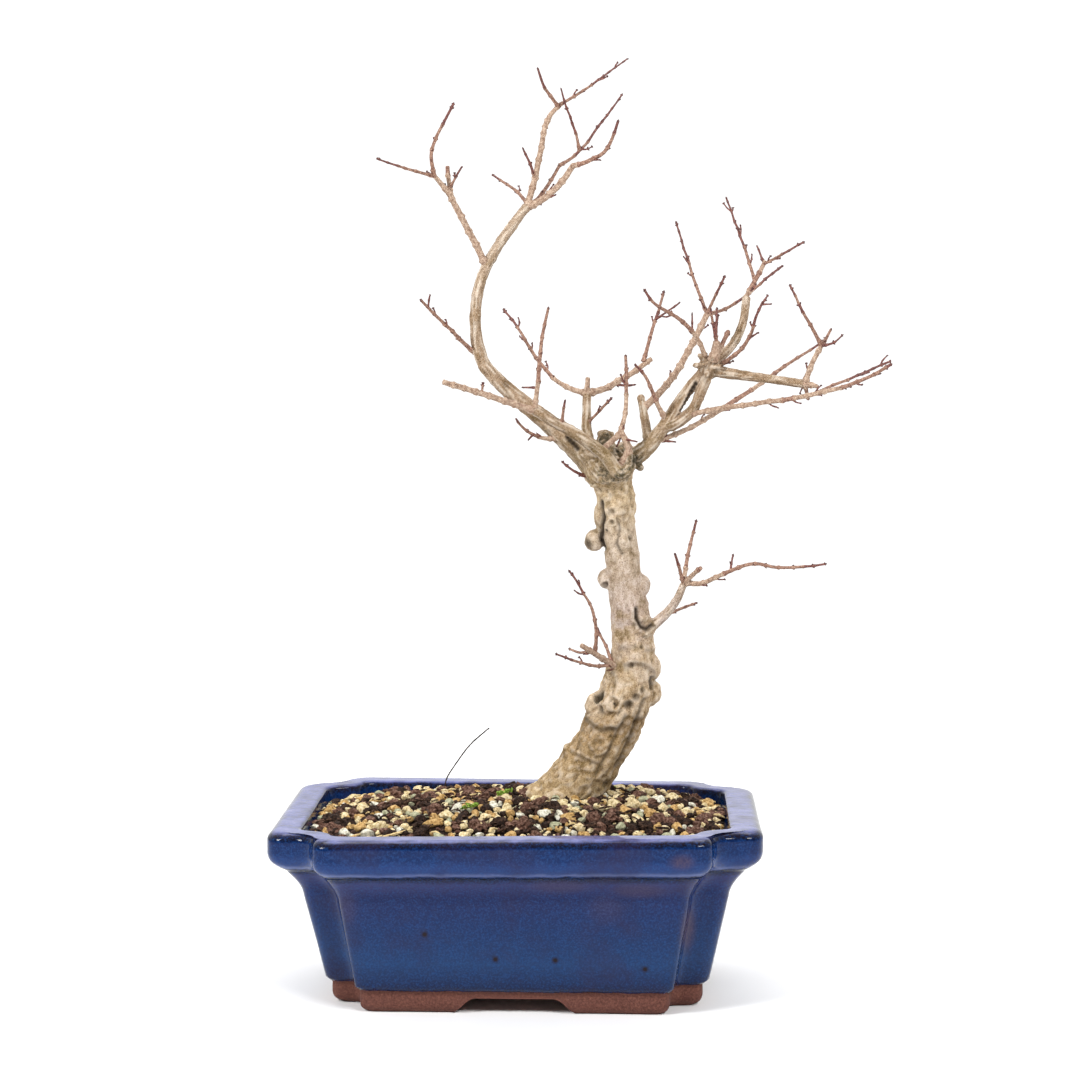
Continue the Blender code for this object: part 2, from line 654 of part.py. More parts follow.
def trunk_pieces(swell):
    """The trunk's tube and its knobs, all grown by swell, and the trunk's path."""
    points, girths = limb_path(TRUNK_FOOT, TRUNK, TRUNK_STEP)
    body = tube("trunk", points, [g + 2 * swell for g in girths], TRUNK_SIDES)
    knobs = []
    for knob in TRUNK_KNOBS:
        centre = point_along(points, knob.at) + Vector((knob.right, knob.back, knob.along))
        knobs.append(ball("knob", centre, knob.radius + swell, knob.flat))
    return body, knobs, points


def cut_flat(obj, height):
    """Cuts the body off flat at a height and closes it there."""
    bm = bmesh.new()
    bm.from_mesh(obj.data)
    parts = list(bm.verts) + list(bm.edges) + list(bm.faces)
    cut = bmesh.ops.bisect_plane(
        bm, geom=parts, plane_co=(0, 0, height * MM), plane_no=(0, 0, -1), clear_outer=True
    )
    rim = [e for e in cut["geom_cut"] if isinstance(e, bmesh.types.BMEdge)]
    bmesh.ops.contextual_create(bm, geom=rim)
    bm.to_mesh(obj.data)
    bm.free()


def make_trunk(finish):
    trunk, knobs, points = trunk_pieces(0.0)
    apply_boolean(trunk, "UNION", knobs)
    cut_flat(trunk, SOIL_SEAT + GAP)
    tidy_solid(trunk)
    shade(trunk, finish)
    return trunk, points


def limb_tubes(root, made, least_sides, swell=0.0):
    """The tubes of a limb and of all that grows from it, as separate bodies, grown by swell."""
    points, girths = limb_path(root, made)
    sides = max(least_sides, sides_for(max(girths)))
    swollen = list(points)
    swollen[0] = points[0] - direction_along(points, 0) * swell
    swollen[-1] = points[-1] + direction_along(points, 1) * swell
    tubes = [tube("limb", swollen, [g + 2 * swell for g in girths], sides)]
    for offshoot in made.offshoots:
        tubes += limb_tubes(foot_on(points, offshoot.at), offshoot, least_sides, swell)
    return tubes


def spurs_of(root, made, rng):
    """Short side spurs at the nodes of a limb and its offshoots, left and right in turn."""
    points, girths = limb_path(root, made)
    spurs = []
    if girths[0] >= THINNEST_WITH_SPURS:
        nodes = int(made.reach / SPUR_SPACING)
        for i in range(1, nodes):
            share = i / nodes
            wanted = rng.random() < SPUR_CHANCE
            reach = rng.uniform(*SPUR_REACH)
            if not wanted:
                continue
            side = 1 if i % 2 else -1
            ahead = direction_along(points, share)
            turned = Matrix.Rotation(math.radians(SPUR_ANGLE * side), 3, "Y") @ ahead
            foot = point_along(points, share)
            tip = foot + turned * (reach + bearing_at(girths, share) / 2)
            spurs.append(tube("spur", [foot, tip], list(SPUR_GIRTHS), 3))
    for offshoot in made.offshoots:
        spurs += spurs_of(foot_on(points, offshoot.at), offshoot, rng)
    return spurs


def clearance_of(name, grown):
    """A cutter just larger than a limb, to leave the hair of room beside it."""
    if name == "trunk":
        body, knobs, _ = trunk_pieces(GAP)
        return [body] + knobs
    root, made, points = grown[name]
    cutters = limb_tubes(root, made, 6, GAP)
    if name == "bough_right":
        cutters.append(hub_at(points[-1], GAP))
    return cutters


def box_of(obj):
    """The lowest and the highest corner of an object's box."""
    corners = [v.co for v in obj.data.vertices]
    low = Vector([min(c[axis] for c in corners) for axis in range(3)])
    high = Vector([max(c[axis] for c in corners) for axis in range(3)])
    return low, high


def boxes_meet(one, other):
    reach = GAP * MM
    return all(one[0][i] < other[1][i] + reach and other[0][i] < one[1][i] + reach for i in range(3))


def grow(name, parent, made, grown, finish, with_spurs):
    """Makes one bough or one mass, joined, and cut clear of the trunk and boughs made before."""
    root = foot_on(grown[parent][2], made.at)
    tubes = limb_tubes(root, made, 3 if with_spurs else 6)
    if with_spurs:
        tubes += spurs_of(root, made, random.Random(f"{name} {SPUR_SEED}"))
    grown[name] = (root, made, limb_path(root, made)[0])
    if name == "bough_right":
        tubes.append(hub_at(grown[name][2][-1], 0.0))
    solid = tubes.pop(0)
    solid.name = name
    if tubes:
        apply_boolean(solid, "UNION", tubes)
    own_box = box_of(solid)
    cutters = []
    for limb_name in ["trunk", *BOUGHS]:
        if limb_name == name:
            break
        if boxes_meet(own_box, box_of(bpy.data.objects[limb_name])):
            cutters += clearance_of(limb_name, grown)
    apply_boolean(solid, "DIFFERENCE", cutters)
    tidy_solid(solid)
    shade(solid, finish)
    return solid


def hub_at(centre, swell):
    """The broken knot at the end of the right bough, where five limbs meet."""
    return ball("hub", centre, HUB_RADIUS + swell, 1.1)


def stand_on_centre(pieces):
    """Puts the middle of the whole footprint over the origin, by one parent for every piece."""
    bpy.context.view_layer.update()
    corners = [piece.matrix_world @ Vector(c) for piece in pieces for c in piece.bound_box]
    middle_x = (min(c.x for c in corners) + max(c.x for c in corners)) / 2
    middle_y = (min(c.y for c in corners) + max(c.y for c in corners)) / 2
    plant = bpy.data.objects.new("plant", None)
    bpy.context.scene.collection.objects.link(plant)
    for piece in pieces:
        piece.parent = plant
    plant.location = (-middle_x, -middle_y, 0.0)


def main():
    start_afresh()
    glaze = material("blue_glaze", (0.045, 0.075, 0.26), 0.2, 0.6)
    earth = material("gravel_soil", (0.12, 0.08, 0.05), 0.95)
    bark = material("maple_bark", (0.47, 0.38, 0.29), 0.85)
    young_wood = material("young_wood", (0.42, 0.2, 0.14), 0.7)
    trunk, trunk_points = make_trunk(bark)
    pieces = [make_pot(glaze), make_soil(earth), trunk]
    grown = {"trunk": (Vector(TRUNK_FOOT), TRUNK, trunk_points)}
    for name, (parent, made) in BOUGHS.items():
        pieces.append(grow(name, parent, made, grown, bark, False))
    for name, (parent, made) in MASSES.items():
        pieces.append(grow(name, parent, made, grown, young_wood, True))
    stand_on_centre(pieces)


main()
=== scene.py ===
"""Looks of a trident maple bonsai in winter, standing in its blue glazed pot.

The pot, the soil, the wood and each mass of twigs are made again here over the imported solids,
from the same sizes in millimetres and the same limbs, and are carried on to finer detail.
X runs to the right, Y to the back and Z up, from the ground under the middle of the pot.
"""

from collections import namedtuple
import json
import math
import numpy
import random

import bmesh
import bpy
from mathutils import Matrix, Vector, kdtree, noise
from mathutils.bvhtree import BVHTree

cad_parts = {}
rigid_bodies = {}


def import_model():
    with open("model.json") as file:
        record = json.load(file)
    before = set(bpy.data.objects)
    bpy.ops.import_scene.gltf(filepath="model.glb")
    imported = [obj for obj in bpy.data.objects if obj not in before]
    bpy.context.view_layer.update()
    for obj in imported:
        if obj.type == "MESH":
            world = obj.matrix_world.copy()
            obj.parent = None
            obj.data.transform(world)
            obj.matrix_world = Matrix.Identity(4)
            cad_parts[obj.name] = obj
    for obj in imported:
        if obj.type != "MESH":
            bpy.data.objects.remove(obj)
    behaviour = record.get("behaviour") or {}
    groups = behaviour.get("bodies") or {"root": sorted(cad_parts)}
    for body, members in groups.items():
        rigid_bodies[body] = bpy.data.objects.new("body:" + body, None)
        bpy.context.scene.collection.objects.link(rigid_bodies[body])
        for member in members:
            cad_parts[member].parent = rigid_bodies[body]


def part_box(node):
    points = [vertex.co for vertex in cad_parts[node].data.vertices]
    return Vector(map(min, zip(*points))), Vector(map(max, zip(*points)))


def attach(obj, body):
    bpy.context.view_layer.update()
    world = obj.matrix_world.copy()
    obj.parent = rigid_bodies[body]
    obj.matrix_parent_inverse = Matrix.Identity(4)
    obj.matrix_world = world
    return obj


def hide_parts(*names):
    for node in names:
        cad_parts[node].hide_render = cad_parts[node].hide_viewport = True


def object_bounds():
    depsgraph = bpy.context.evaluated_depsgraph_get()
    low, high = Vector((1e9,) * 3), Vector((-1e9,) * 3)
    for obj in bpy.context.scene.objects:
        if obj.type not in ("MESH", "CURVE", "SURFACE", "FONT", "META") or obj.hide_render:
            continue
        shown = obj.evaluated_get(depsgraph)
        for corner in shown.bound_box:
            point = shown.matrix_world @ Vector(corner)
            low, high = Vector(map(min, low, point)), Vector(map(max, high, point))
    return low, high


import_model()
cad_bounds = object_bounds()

MM = 0.001

pot_low, pot_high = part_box("pot")
POT_CENTRE = Vector(((pot_low.x + pot_high.x) / 2, (pot_low.y + pot_high.y) / 2, 0.0))

# Pot, as in the source.
POT_LENGTH = 260.0
POT_DEPTH = 190.0
POT_HEIGHT = 97.5
RIM_ROLL_RISE = 4.5
RIM_ROLL_RUN = 6.0
WALL_TOP = 63.0
WALL_TOP_INSET = 16.7
WALL_FOOT = 14.5
WALL_FOOT_INSET = 27.4
FOOT_TOP = 10.5
FOOT_INSET = 31.0
FLOOR_TOP = 15.0
GLAZE_LINE = 12.0

# The foot's worn edge, the cove and the lip above the wall, and the whole inner face from the
# rim down to the floor: heights with their insets.
FOOT_EDGE = ((0.0, 35.0), (2.0, 32.2), (5.0, 31.0))
COVE_AND_LIP = (
    (67.0, 14.9), (71.0, 12.2), (74.5, 9.4), (76.0, 8.2),
    (77.2, 6.2), (80.4, 2.4), (83.0, 0.7), (86.0, 0.0),
)
INSIDE = ((POT_HEIGHT, 14.5), (95.5, 17.0), (WALL_TOP, 23.2), (21.0, 32.4), (FLOOR_TOP, 38.4))

# Notch: its length along the long side and its depth at the rim, what each loses per millimetre
# of inset, and how far its inner corner is filled in. Each of its three turns, from the short
# side to the long side, starts and ends at these distances from its corner.
Notch = namedtuple("Notch", "length depth length_loss depth_loss filled turns")
OUTER_NOTCH = Notch(27.5, 22.0, 0.31, 0.08, 1.5, ((12, 10), (12, 11), (7, 12)))
INNER_NOTCH = Notch(22.0, 19.0, 0.1, 0.1, 5.0, ((9, 7), (9, 8), (6, 11)))
POCKET_NOTCH = Notch(16.0, 17.0, 0.0, 0.0, 0.0, ((6, 6), (6, 6), (6, 6)))

# The fired pot isn't quite true: the share by which it is taller at the middle, how that share
# changes to the right and to the back, and how much the rim is twisted.
TALLER = (0.005, 0.006, -0.004, -0.012)

# Feet: one bracket at each corner, left by four sloping recesses and a pocket underneath, whose
# cutters reach a little past what they cut.
FOOT_HEIGHT = 8.5
FOOT_THICKNESS = 15.0
FRONT_RECESS_HALF = 32.0
SIDE_RECESS_HALF = 24.0
RECESS_SLOPE = 9.0
DRAIN_DIAMETER = 18.0
DRAIN_SPACING = 90.0
CUT_PAST = 1.5

# Soil: fills the pot, a little below the rim, and mounds up to a flat seat under the trunk.
# Its larger stones stand out of it, by a seeded rule.
SOIL_EDGE = 92.0
SOIL_SEAT = 102.5
SEAT_CENTRE = (20.0, 20.0)
SEAT_RADIUS = 31.0
SOIL_HALF_LENGTH = 111.0
SOIL_HALF_DEPTH = 76.0
STONE_SEED = 3
STONE_SPACING = 13.0
STONE_SHIFT = 3.0
STONE_RADIUS = (2.8, 4.4)
STONE_RISE = (2.2, 3.4)

# A limb: where it grows from on its parent, its reach, its bearings from root to tip, how far
# its tip comes to the back, its girths from root to tip, and the limbs that grow from it.
Limb = namedtuple("Limb", "at reach bearings back girths offshoots")
Knob = namedtuple("Knob", "at right back along radius flat")


def limb(at, reach, bearings, back, girths, *offshoots):
    return Limb(at, reach, bearings, back, girths, offshoots)


TRUNK_FOOT = (18.0, 21.0, 91.0)
TRUNK = limb(
    0, 215, (35, 35, 29, 16, -2, -9.5, -6, -8, -13), -16,
    (37, 34, 31, 30, 29, 29, 27, 22, 20.5, 18.8, 17.8, 18.0, 19.2, 21, 18),
)

# Swellings of the trunk: old pruning scars grown over, the root flare and the head.
# Each is placed by a share of the trunk's length and by its distances from the trunk's line.
TRUNK_KNOBS = (
    Knob(0.06, -15, -3, 0, 11, 0.6),
    Knob(0.06, -3, -11, 0, 11, 0.6),
    Knob(0.05, 10, 8, 0, 12, 0.6),
    Knob(0.19, -13, -1, 0, 7.0, 1.0),
    Knob(0.34, -13, 0, 0, 7.0, 1.0),
    Knob(0.34, -7, -9, 0, 6.5, 1.0),
    Knob(0.33, 7, -7, 0, 8.0, 1.0),
    Knob(0.37, 12, 2, 0, 8.0, 1.0),
    Knob(0.41, -6, -5, 0, 7.5, 0.9),
    Knob(0.44, 9, 0, 0, 7.5, 1.1),
    Knob(0.54, 7, -3, 0, 6.0, 1.2),
    Knob(0.67, -11, 1, 0, 4.6, 1.1),
    Knob(0.65, 7, 0, 0, 6.0, 1.2),
    Knob(0.77, 1, -6, 0, 5.0, 1.2),
    Knob(0.78, -13, 1, 0, 4.0, 0.8),
    Knob(0.765, -14.5, 1, 0, 5.4, 1.1),
    Knob(0.83, -8, 1, 0, 4.6, 2.2),
    Knob(0.95, -1.2, -2, 0, 13.8, 0.9),
    Knob(0.97, -9, -1, 2, 9.0, 0.8),
    Knob(0.99, -1, 5, 5, 5.0, 1.0),
    Knob(0.98, 9, 4, 3, 5.5, 1.0),
)

BOUGHS = {
    "bough_left_low": ("trunk", limb(
        (0.96, -8, 0, 1), 80, (-46, -50, -52, -50, -40), 4, (17, 12, 9, 7.8, 7.2))),
    "bough_left_high": ("bough_left_low", limb(
        1, 95, (-24, -5, 9, 27, 36, 38), 7, (7, 6, 5.6, 5.4, 5.2, 4.6))),
    "bough_front": ("trunk", limb(
        (0.96, 5, -15, -1), 55, (-42, -52, -62, -57), -14, (9, 7.4, 5.4, 4.4))),
    "bough_middle": ("trunk", limb((0.98, -10, 3, 6), 28, (-16, 0, 0), 10, (6.4, 4.6, 4.2))),
    "bough_right": ("trunk", limb(
        (0.96, 3.5, 0, 1), 74, (81, 45, 30, 36, 48), -6, (14, 9, 7, 6, 5.4, 6))),
    "bough_right_twin": ("bough_right", limb(0.44, 38, (78, 52, 22, 22), -8, (6, 5.4, 5.2))),
    "bough_snag": ("bough_right", limb(0.28, 27, (-8, -12), 10, (5, 4.4, 3.6))),
    "bough_right_arm": ("bough_right", limb(
        (1, 2, 0, -2), 48, (98, 97, 98), -26, (6, 5, 4.2, 4.2))),
    "bough_right_top": ("bough_right", limb(
        (1, 3, 3, 3.5), 40, (60, 36, 14, 0), 9, (5, 4.4, 4.0, 4.4))),
    "bough_low_right": ("trunk", limb((0.52, 3.5, 0, 1), 38, (60, 44, 16), -7, (7, 4.6, 3.6))),
}

HUB_RADIUS = 6.0

MASSES = {
    "twigs_top_left": ("bough_left_high", limb(
        0.58, 43, (-26,), -12, (3.4, 2.8),
        limb(1, 13, (-40,), -4, (2.8, 2.0),
             limb(1, 40, (-18, 14, 30, 30), -10, (1.9, 1.2)),
             limb(0.95, 29, (-79, -70), -28, (1.8, 0.8))),
        limb(0.98, 16, (-8,), 6, (2.4, 2.0),
             limb(0.25, 13, (33,), -9, (1.4, 0.9))),
    )),
    "twigs_top_middle": ("bough_left_high", limb(
        1, 44, (16, 8), 8, (3.2, 2.4),
        limb(0.99, 16, (18, 50), 4, (2.6, 2.0),
             limb(0.85, 22, (-44, -30, -12), -17, (1.9, 1.1)),
             limb(0.9, 46, (58, 52, 52), 23, (1.6, 0.7))),
        limb((0.02, 1, 0, -1), 32, (68, 48, 30), -10, (3.4, 2.8),
             limb(1, 36, (80, 68, 28, 14), -20, (2.4, 1.3))),
        limb((0.02, 2, 0, -1), 27, (40, 26), 14, (2.0, 1.6),
             limb(1, 53, (66, 34, 36, 34), 24, (1.7, 0.9),
                  limb(0.25, 34, (-6, -22, -14), -16, (1.5, 0.8)))),
        limb(0.02, 27, (-36, -54, -55), 26, (2.0, 1.0)),
        limb(0.36, 16, (-14, -30), -12, (1.6, 0.9)),
    )),
    "twigs_left": ("bough_left_high", limb(
        (0.08, -3, 0, 0), 39, (-45, -42), -24, (2.2, 1.3),
        limb(0.86, 7, (10,), -2, (1.0, 0.8)),
    )),
    "twigs_front_left": ("bough_front", limb(
        1, 49, (-71, -71, -73), -24, (3.2, 2.6),
        limb((0.03, 2, 0, 1), 53, (6, 6, 14), -12, (2.4, 1.3),
             limb(0.2, 8, (-90,), 5, (1.2, 0.8))),
        limb(0.58, 6, (8,), -3, (1.2, 0.9)),
    )),
    "twig_front_spur": ("bough_front", limb(0.7, 14, (10,), -12, (1.8, 1.0))),
    "twigs_centre": ("bough_front", limb(
        0.0, 22, (58, 0, -44), 2, (4.2, 3.4, 3.0),
        limb(0.99, 41, (14, 2, -5), 8, (2.4, 1.4)),
        limb(0.98, 12, (-132,), -4, (2.6, 2.8)),
        limb(0.8, 7, (98,), -6, (1.2, 0.8)),
    )),
    "twigs_middle": ("bough_middle", limb(
        1, 9, (3,), 1, (2.8, 2.2),
        limb(0.05, 68, (-82, -46, -30, -42), 30, (3.0, 1.9, 1.6, 1.0)),
        limb(0.05, 40, (80, 57, 55), 18, (3.4, 2.9, 2.4),
             limb(0.38, 12, (106, 80), 6, (1.4, 0.9)),
             limb((0.86, 0, 0, 2), 40, (17, 16), 18, (2.0, 1.2),
                  limb(0.6, 16, (55,), -12, (1.2, 0.8)))),
    )),
    "twig_middle_spur": ("bough_middle", limb(0.42, 20, (42, 44), -10, (1.5, 1.1))),
    "twigs_left_low": ("bough_left_low", limb(
        (0.33, -1, -2, -4), 25, (-96, -61, -29), -18, (2.6, 1.6, 1.0),
        limb(0.5, 4, (-138,), -4, (1.2, 0.9)),
    )),
    "twig_left_root": ("trunk", limb((0.93, -12, -6, 0), 17, (-70, -46), -8, (1.8, 0.9))),
    "twigs_snag": ("bough_snag", limb(
        0.75, 63, (52, 31, 25), 25, (3.4, 3.2, 3.0),
        limb(0.99, 54, (-21, -16), 26, (1.8, 0.9)),
        limb(0.98, 23, (24,), -12, (1.6, 1.2)),
        limb(0.98, 51, (78, 49, 53), 22, (1.7, 1.1)),
    )),
    "twigs_hub_left": ("bough_right", limb(
        (1, -2, -2, 5), 50, (-14, -40, -66, -28), -38, (2.4, 1.9, 1.2),
        limb(0.33, 9, (0,), 4, (1.0, 0.8)),
    )),
    "twigs_hub_top": ("bough_right", limb(
        (1, 2, -5, 4), 10, (10,), -4, (4.6, 3.6),
        limb(0.96, 18, (-11,), -11, (1.7, 1.1)),
        limb(0.96, 18, (1,), 10, (1.5, 1.0)),
        limb((0.5, 2, 0, 0), 12, (26,), 2, (2.2, 2.0)),
    )),
    "twigs_hub_right": ("bough_right", limb(
        (1, 6, -2, 1), 41, (56, 44, 12, 26), -28, (2.2, 1.7, 1.1),
        limb(0.5, 6, (57,), -6, (1.0, 0.8)),
        limb(0.97, 6, (34,), 3, (1.1, 0.8)),
        limb(0.97, 5, (88,), -3, (1.0, 0.7)),
    )),
    "twigs_right_front": ("bough_right", limb(
        (0.52, -2, -1, 0), 34, (-31, -17, -48), -22, (2.6, 1.8, 1.1))),
    "twigs_right_top": ("bough_right_top", limb(
        1, 22, (28,), 6, (2.4, 2.0),
        limb(0.9, 24, (61,), -14, (1.4, 1.0)),
        limb(0.94, 10, (-20,), 9, (1.3, 0.9)),
        limb(0.45, 48, (-16, -20), 27, (1.7, 0.9)),
    )),
    "twigs_far_right": ("bough_right_arm", limb(
        1, 22, (14, 30), -8, (2.8, 2.2),
        limb(0.99, 36, (-30, -28), -16, (1.9, 0.9)),
        limb(0.99, 10, (32,), 6, (1.6, 1.2)),
        limb(0.99, 12, (86, 36), -10, (1.4, 0.7)),
        limb(0.02, 7, (104,), -3, (3.0, 1.8)),
        limb(0.02, 9, (165,), 7, (2.2, 1.4)),
    )),
    "twigs_right_long": ("bough_right_twin", limb(
        0.4, 109, (77, 82, 76, 56), -52, (2.6, 2.4, 2.2, 1.4),
        limb(0.6, 47, (69, 68), 22, (1.5, 1.1)),
    )),
    "twigs_right_back": ("bough_right", limb(
        (0.37, 0, 0, -3), 104, (71, 59, 56, 58), 46, (2.6, 2.4, 2.0, 1.1),
        limb((0.03, 0, 0, -1), 7, (90,), -5, (1.1, 0.8)),
    )),
    "twigs_low_right": ("bough_low_right", limb(
        1, 34, (6, 18), 20, (2.4, 1.1),
        limb(0.02, 18, (-16,), -16, (2.0, 1.2)),
        limb(0.02, 13, (44,), -11, (2.6, 2.0)),
        limb(0.03, 77, (105, 58, 64, 100, 80, 80), -42, (2.8, 2.2, 1.7, 1.5, 1.0),
             limb(0.35, 8, (10,), 6, (1.2, 0.9))),
    )),
    "twig_low_right_spur": ("bough_low_right", limb(0.42, 20, (73,), 18, (1.9, 1.0))),
    "twigs_low_left": ("trunk", limb(
        0.425, 32, (-70, -50, -54), -26, (3.8, 3.0, 2.4),
        limb(0.72, 50, (8, -6, -30, -33), -16, (1.9, 1.0)),
        limb(0.36, 20, (-20, -29), 14, (1.8, 1.2)),
        limb(0.34, 32, (-92, -68, -60), -30, (1.9, 0.9)),
        limb(0.82, 12, (-120, -60), 8, (1.6, 1.0)),
    )),
}

LIMB_STEP = 9.0
TRUNK_STEP = 13.0


# Materials.

def linear(colour):
    """A colour in the shader's own linear values, from its sRGB hex."""
    parts = [int(colour[i:i + 2], 16) / 255 for i in (1, 3, 5)]
    return (*[c / 12.92 if c <= 0.04045 else ((c + 0.055) / 1.055) ** 2.4 for c in parts], 1.0)


def add(tree, kind, settings, links=None, stops=None):
    """Adds one node, sets its properties and sockets by name, and links sockets to outputs."""
    made = tree.nodes.new("ShaderNode" + kind)
    for key, value in settings.items():
        if isinstance(value, str) and value.startswith("#"):
            value = linear(value)
        if isinstance(key, str) and hasattr(made, key):
            setattr(made, key, value)
        else:
            made.inputs[key].default_value = value
    for key, output in (links or {}).items():
        tree.links.new(output, made.inputs[key])
    if stops:
        ramp = made.color_ramp
        while len(ramp.elements) < len(stops):
            ramp.elements.new(0.5)
        for element, (place, colour) in zip(ramp.elements, stops):
            element.position = place
            element.color = linear(colour) if isinstance(colour, str) else (colour,) * 3 + (1.0,)
    return made


def start_material(name, roughness, mirror=0.5):
    """A new material with its shader, and the place in millimetres on the piece."""
    made = bpy.data.materials.new(name)
    made.use_nodes = True
    tree = made.node_tree
    shader = tree.nodes["Principled BSDF"]
    shader.inputs["Roughness"].default_value = roughness
    shader.inputs["Specular IOR Level"].default_value = mirror
    place = add(tree, "TexCoord", {})
    scaled = add(tree, "VectorMath", {"operation": "SCALE", "Scale": 1 / MM}, {
        0: place.outputs["Object"]})
    return made, tree, shader, scaled.outputs[0]


def nearest_of(tree, mm, places):
    """How far a point of the piece is from the nearest of some places, in millimetres."""
    nearest = None
    for place in places:
        apart = add(tree, "VectorMath", {"operation": "DISTANCE", 1: place}, {0: mm})
        away = apart.outputs["Value"]
        if nearest:
            away = add(tree, "Math", {"operation": "MINIMUM"}, {0: nearest, 1: away}).outputs[0]
        nearest = away
    return nearest


# The glaze's colours by height, as shares of the way between two heights before firing. The pale
# lavender at the top of the rim is a painted reflection of the white room above.
GLAZE_SPAN = (10.0, 100.0)
GLAZE_TONES = (
    (0.0, "#1b1a26"), (0.05, "#16203e"), (0.2, "#1c3358"), (0.4, "#16284e"), (0.6, "#172048"),
    (0.7, "#2c305c"), (0.735, "#0a0c1e"), (0.752, "#0e1126"), (0.765, "#56628f"),
    (0.785, "#24386a"), (0.83, "#182e5c"), (0.86, "#021d49"), (0.925, "#011842"),
    (0.94, "#0d0a13"), (0.96, "#1c1219"), (0.972, "#5c5f90"), (1.0, "#a9a6cf"),
)

# The bark's colours by height, in the same way.
BARK_SPAN = (100.0, 420.0)
BARK_TONES = (
    (0.0, "#b9a27c"), (0.13, "#ab9069"), (0.2, "#c8b397"), (0.27, "#c3af98"), (0.33, "#b7a69c"),
    (0.44, "#c0b09f"), (0.53, "#bda888"), (0.6, "#948063"), (0.68, "#977f66"), (1.0, "#a9947f"),
)


def layered(tree, colour, layers):
    """The colour that comes of laying tints over one another, each by its own share."""
    for share, tint in layers:
        laid = add(tree, "MixRGB", {"Color2": tint}, {"Fac": share, "Color1": colour})
        colour = laid.outputs[0]
    return colour


def finish(tree, shader, colour, height, strength, depth):
    """Gives a shader its colour, and a fine relief of a depth in metres."""
    bump = add(tree, "Bump", {"Strength": strength, "Distance": depth}, {"Height": height})
    tree.links.new(colour, shader.inputs["Base Color"])
    tree.links.new(bump.outputs[0], shader.inputs["Normal"])


def cobalt_glaze():
    """Cobalt glaze on pressed stoneware, fired in reduction: deep, glossy and slightly runny.

    It pools navy blue, breaks brown where it runs thin over the edge of the rim, leaves a pale
    line where it stops at the lip's lower edge, and is flecked with paler crystals about 1.5 mm
    across, drawn that coarse so that they show. The top of the rim is painted pale lavender, a
    painted reflection of the white room above.
    """
    made, tree, shader, mm = start_material("cobalt_glaze_on_stoneware", 0.08, 0.16)
    level = add(tree, "Attribute", {"attribute_name": "level"}).outputs["Fac"]
    drift = add(tree, "TexNoise", {"Scale": 0.09, "Detail": 4.0, "Roughness": 0.65}, {"Vector": mm})
    sway = add(tree, "MapRange", {"To Min": -1.8, "To Max": 1.8}, {"Value": drift.outputs["Fac"]})
    height = add(tree, "Math", {"operation": "ADD"}, {0: level, 1: sway.outputs[0]})
    low, high = GLAZE_SPAN
    share = add(tree, "MapRange", {"From Min": low, "From Max": high}, {"Value": height.outputs[0]})
    # The colours by height carry a painted reflection on the top of the rim.
    body = add(tree, "ValToRGB", {}, {0: share.outputs[0]}, GLAZE_TONES)
    specks = add(tree, "TexNoise", {"Scale": 0.9, "Detail": 5.0, "Roughness": 0.8}, {"Vector": mm})
    fleck = add(tree, "ValToRGB", {}, {0: specks.outputs["Fac"]}, ((0.46, 0.0), (0.7, 0.5)))
    cloud = add(tree, "TexNoise", {"Scale": 0.035, "Detail": 4.0}, {"Vector": mm})
    patch = add(tree, "ValToRGB", {}, {0: cloud.outputs["Fac"]}, ((0.5, 0.0), (0.72, 0.5)))
    brown = add(tree, "Attribute", {"attribute_name": "brown"})
    broken = add(tree, "ValToRGB", {}, {0: specks.outputs["Fac"]}, ((0.36, 0.25), (0.6, 1.0)))
    where = add(tree, "Math", {"operation": "MULTIPLY"}, {
        0: brown.outputs["Fac"], 1: broken.outputs[0]})
    # The pinholes are found looking from the front, so depth counts for little.
    flat = Vector((1.0, 0.1, 1.0))
    squeezed = add(tree, "VectorMath", {"operation": "MULTIPLY", 1: flat}, {0: mm})
    pinholes = [(Vector(place) + POT_CENTRE / MM) * flat for place in PINHOLES]
    to_pinhole = nearest_of(tree, squeezed.outputs[0], pinholes)
    beside = add(tree, "MapRange", {"From Max": 5.0}, {"Value": to_pinhole})
    halo = add(tree, "ValToRGB", {}, {0: beside.outputs[0]}, (
        (0.0, 1.0), (0.18, 1.0), (0.28, 0.5), (0.5, 0.0)))
    colour = layered(tree, body.outputs[0], (
        (fleck.outputs[0], "#24508f"), (patch.outputs[0], "#281f38"),
        (where.outputs[0], "#463642"), (halo.outputs[0], "#1d1418")))
    peel = add(tree, "TexNoise", {"Scale": 0.22, "Detail": 2.0}, {"Vector": mm})
    finish(tree, shader, colour, peel.outputs["Fac"], 0.25, 0.0005)
    return made


def bare_stoneware():
    """Unglazed red stoneware of the feet, wiped clean before firing: matt, with iron specks."""
    made, tree, shader, mm = start_material("bare_red_stoneware", 0.86, 0.3)
    grain = add(tree, "TexNoise", {"Scale": 0.9, "Detail": 6.0, "Roughness": 0.7}, {"Vector": mm})
    tone = add(tree, "ValToRGB", {}, {0: grain.outputs["Fac"]}, (
        (0.3, "#43241d"), (0.5, "#5e3930"), (0.66, "#74483b"), (0.76, "#946b5a")))
    finish(tree, shader, tone.outputs[0], grain.outputs["Fac"], 0.6, 0.0006)
    return made


def granule(name, dark, mid, light):
    """A porous granule or crumb, broken and sieved: matt, with pits about 1.4 mm wide."""
    made, tree, shader, mm = start_material(name, 0.9, 0.2)
    grain = add(tree, "TexNoise", {"Scale": 1 / 1.4, "Detail": 5.0, "Roughness": 0.65}, {
        "Vector": mm})
    tone = add(tree, "ValToRGB", {}, {0: grain.outputs["Fac"]}, (
        (0.34, dark), (0.5, mid), (0.68, light)))
    finish(tree, shader, tone.outputs[0], grain.outputs["Fac"], 0.8, 0.0007)
    return made


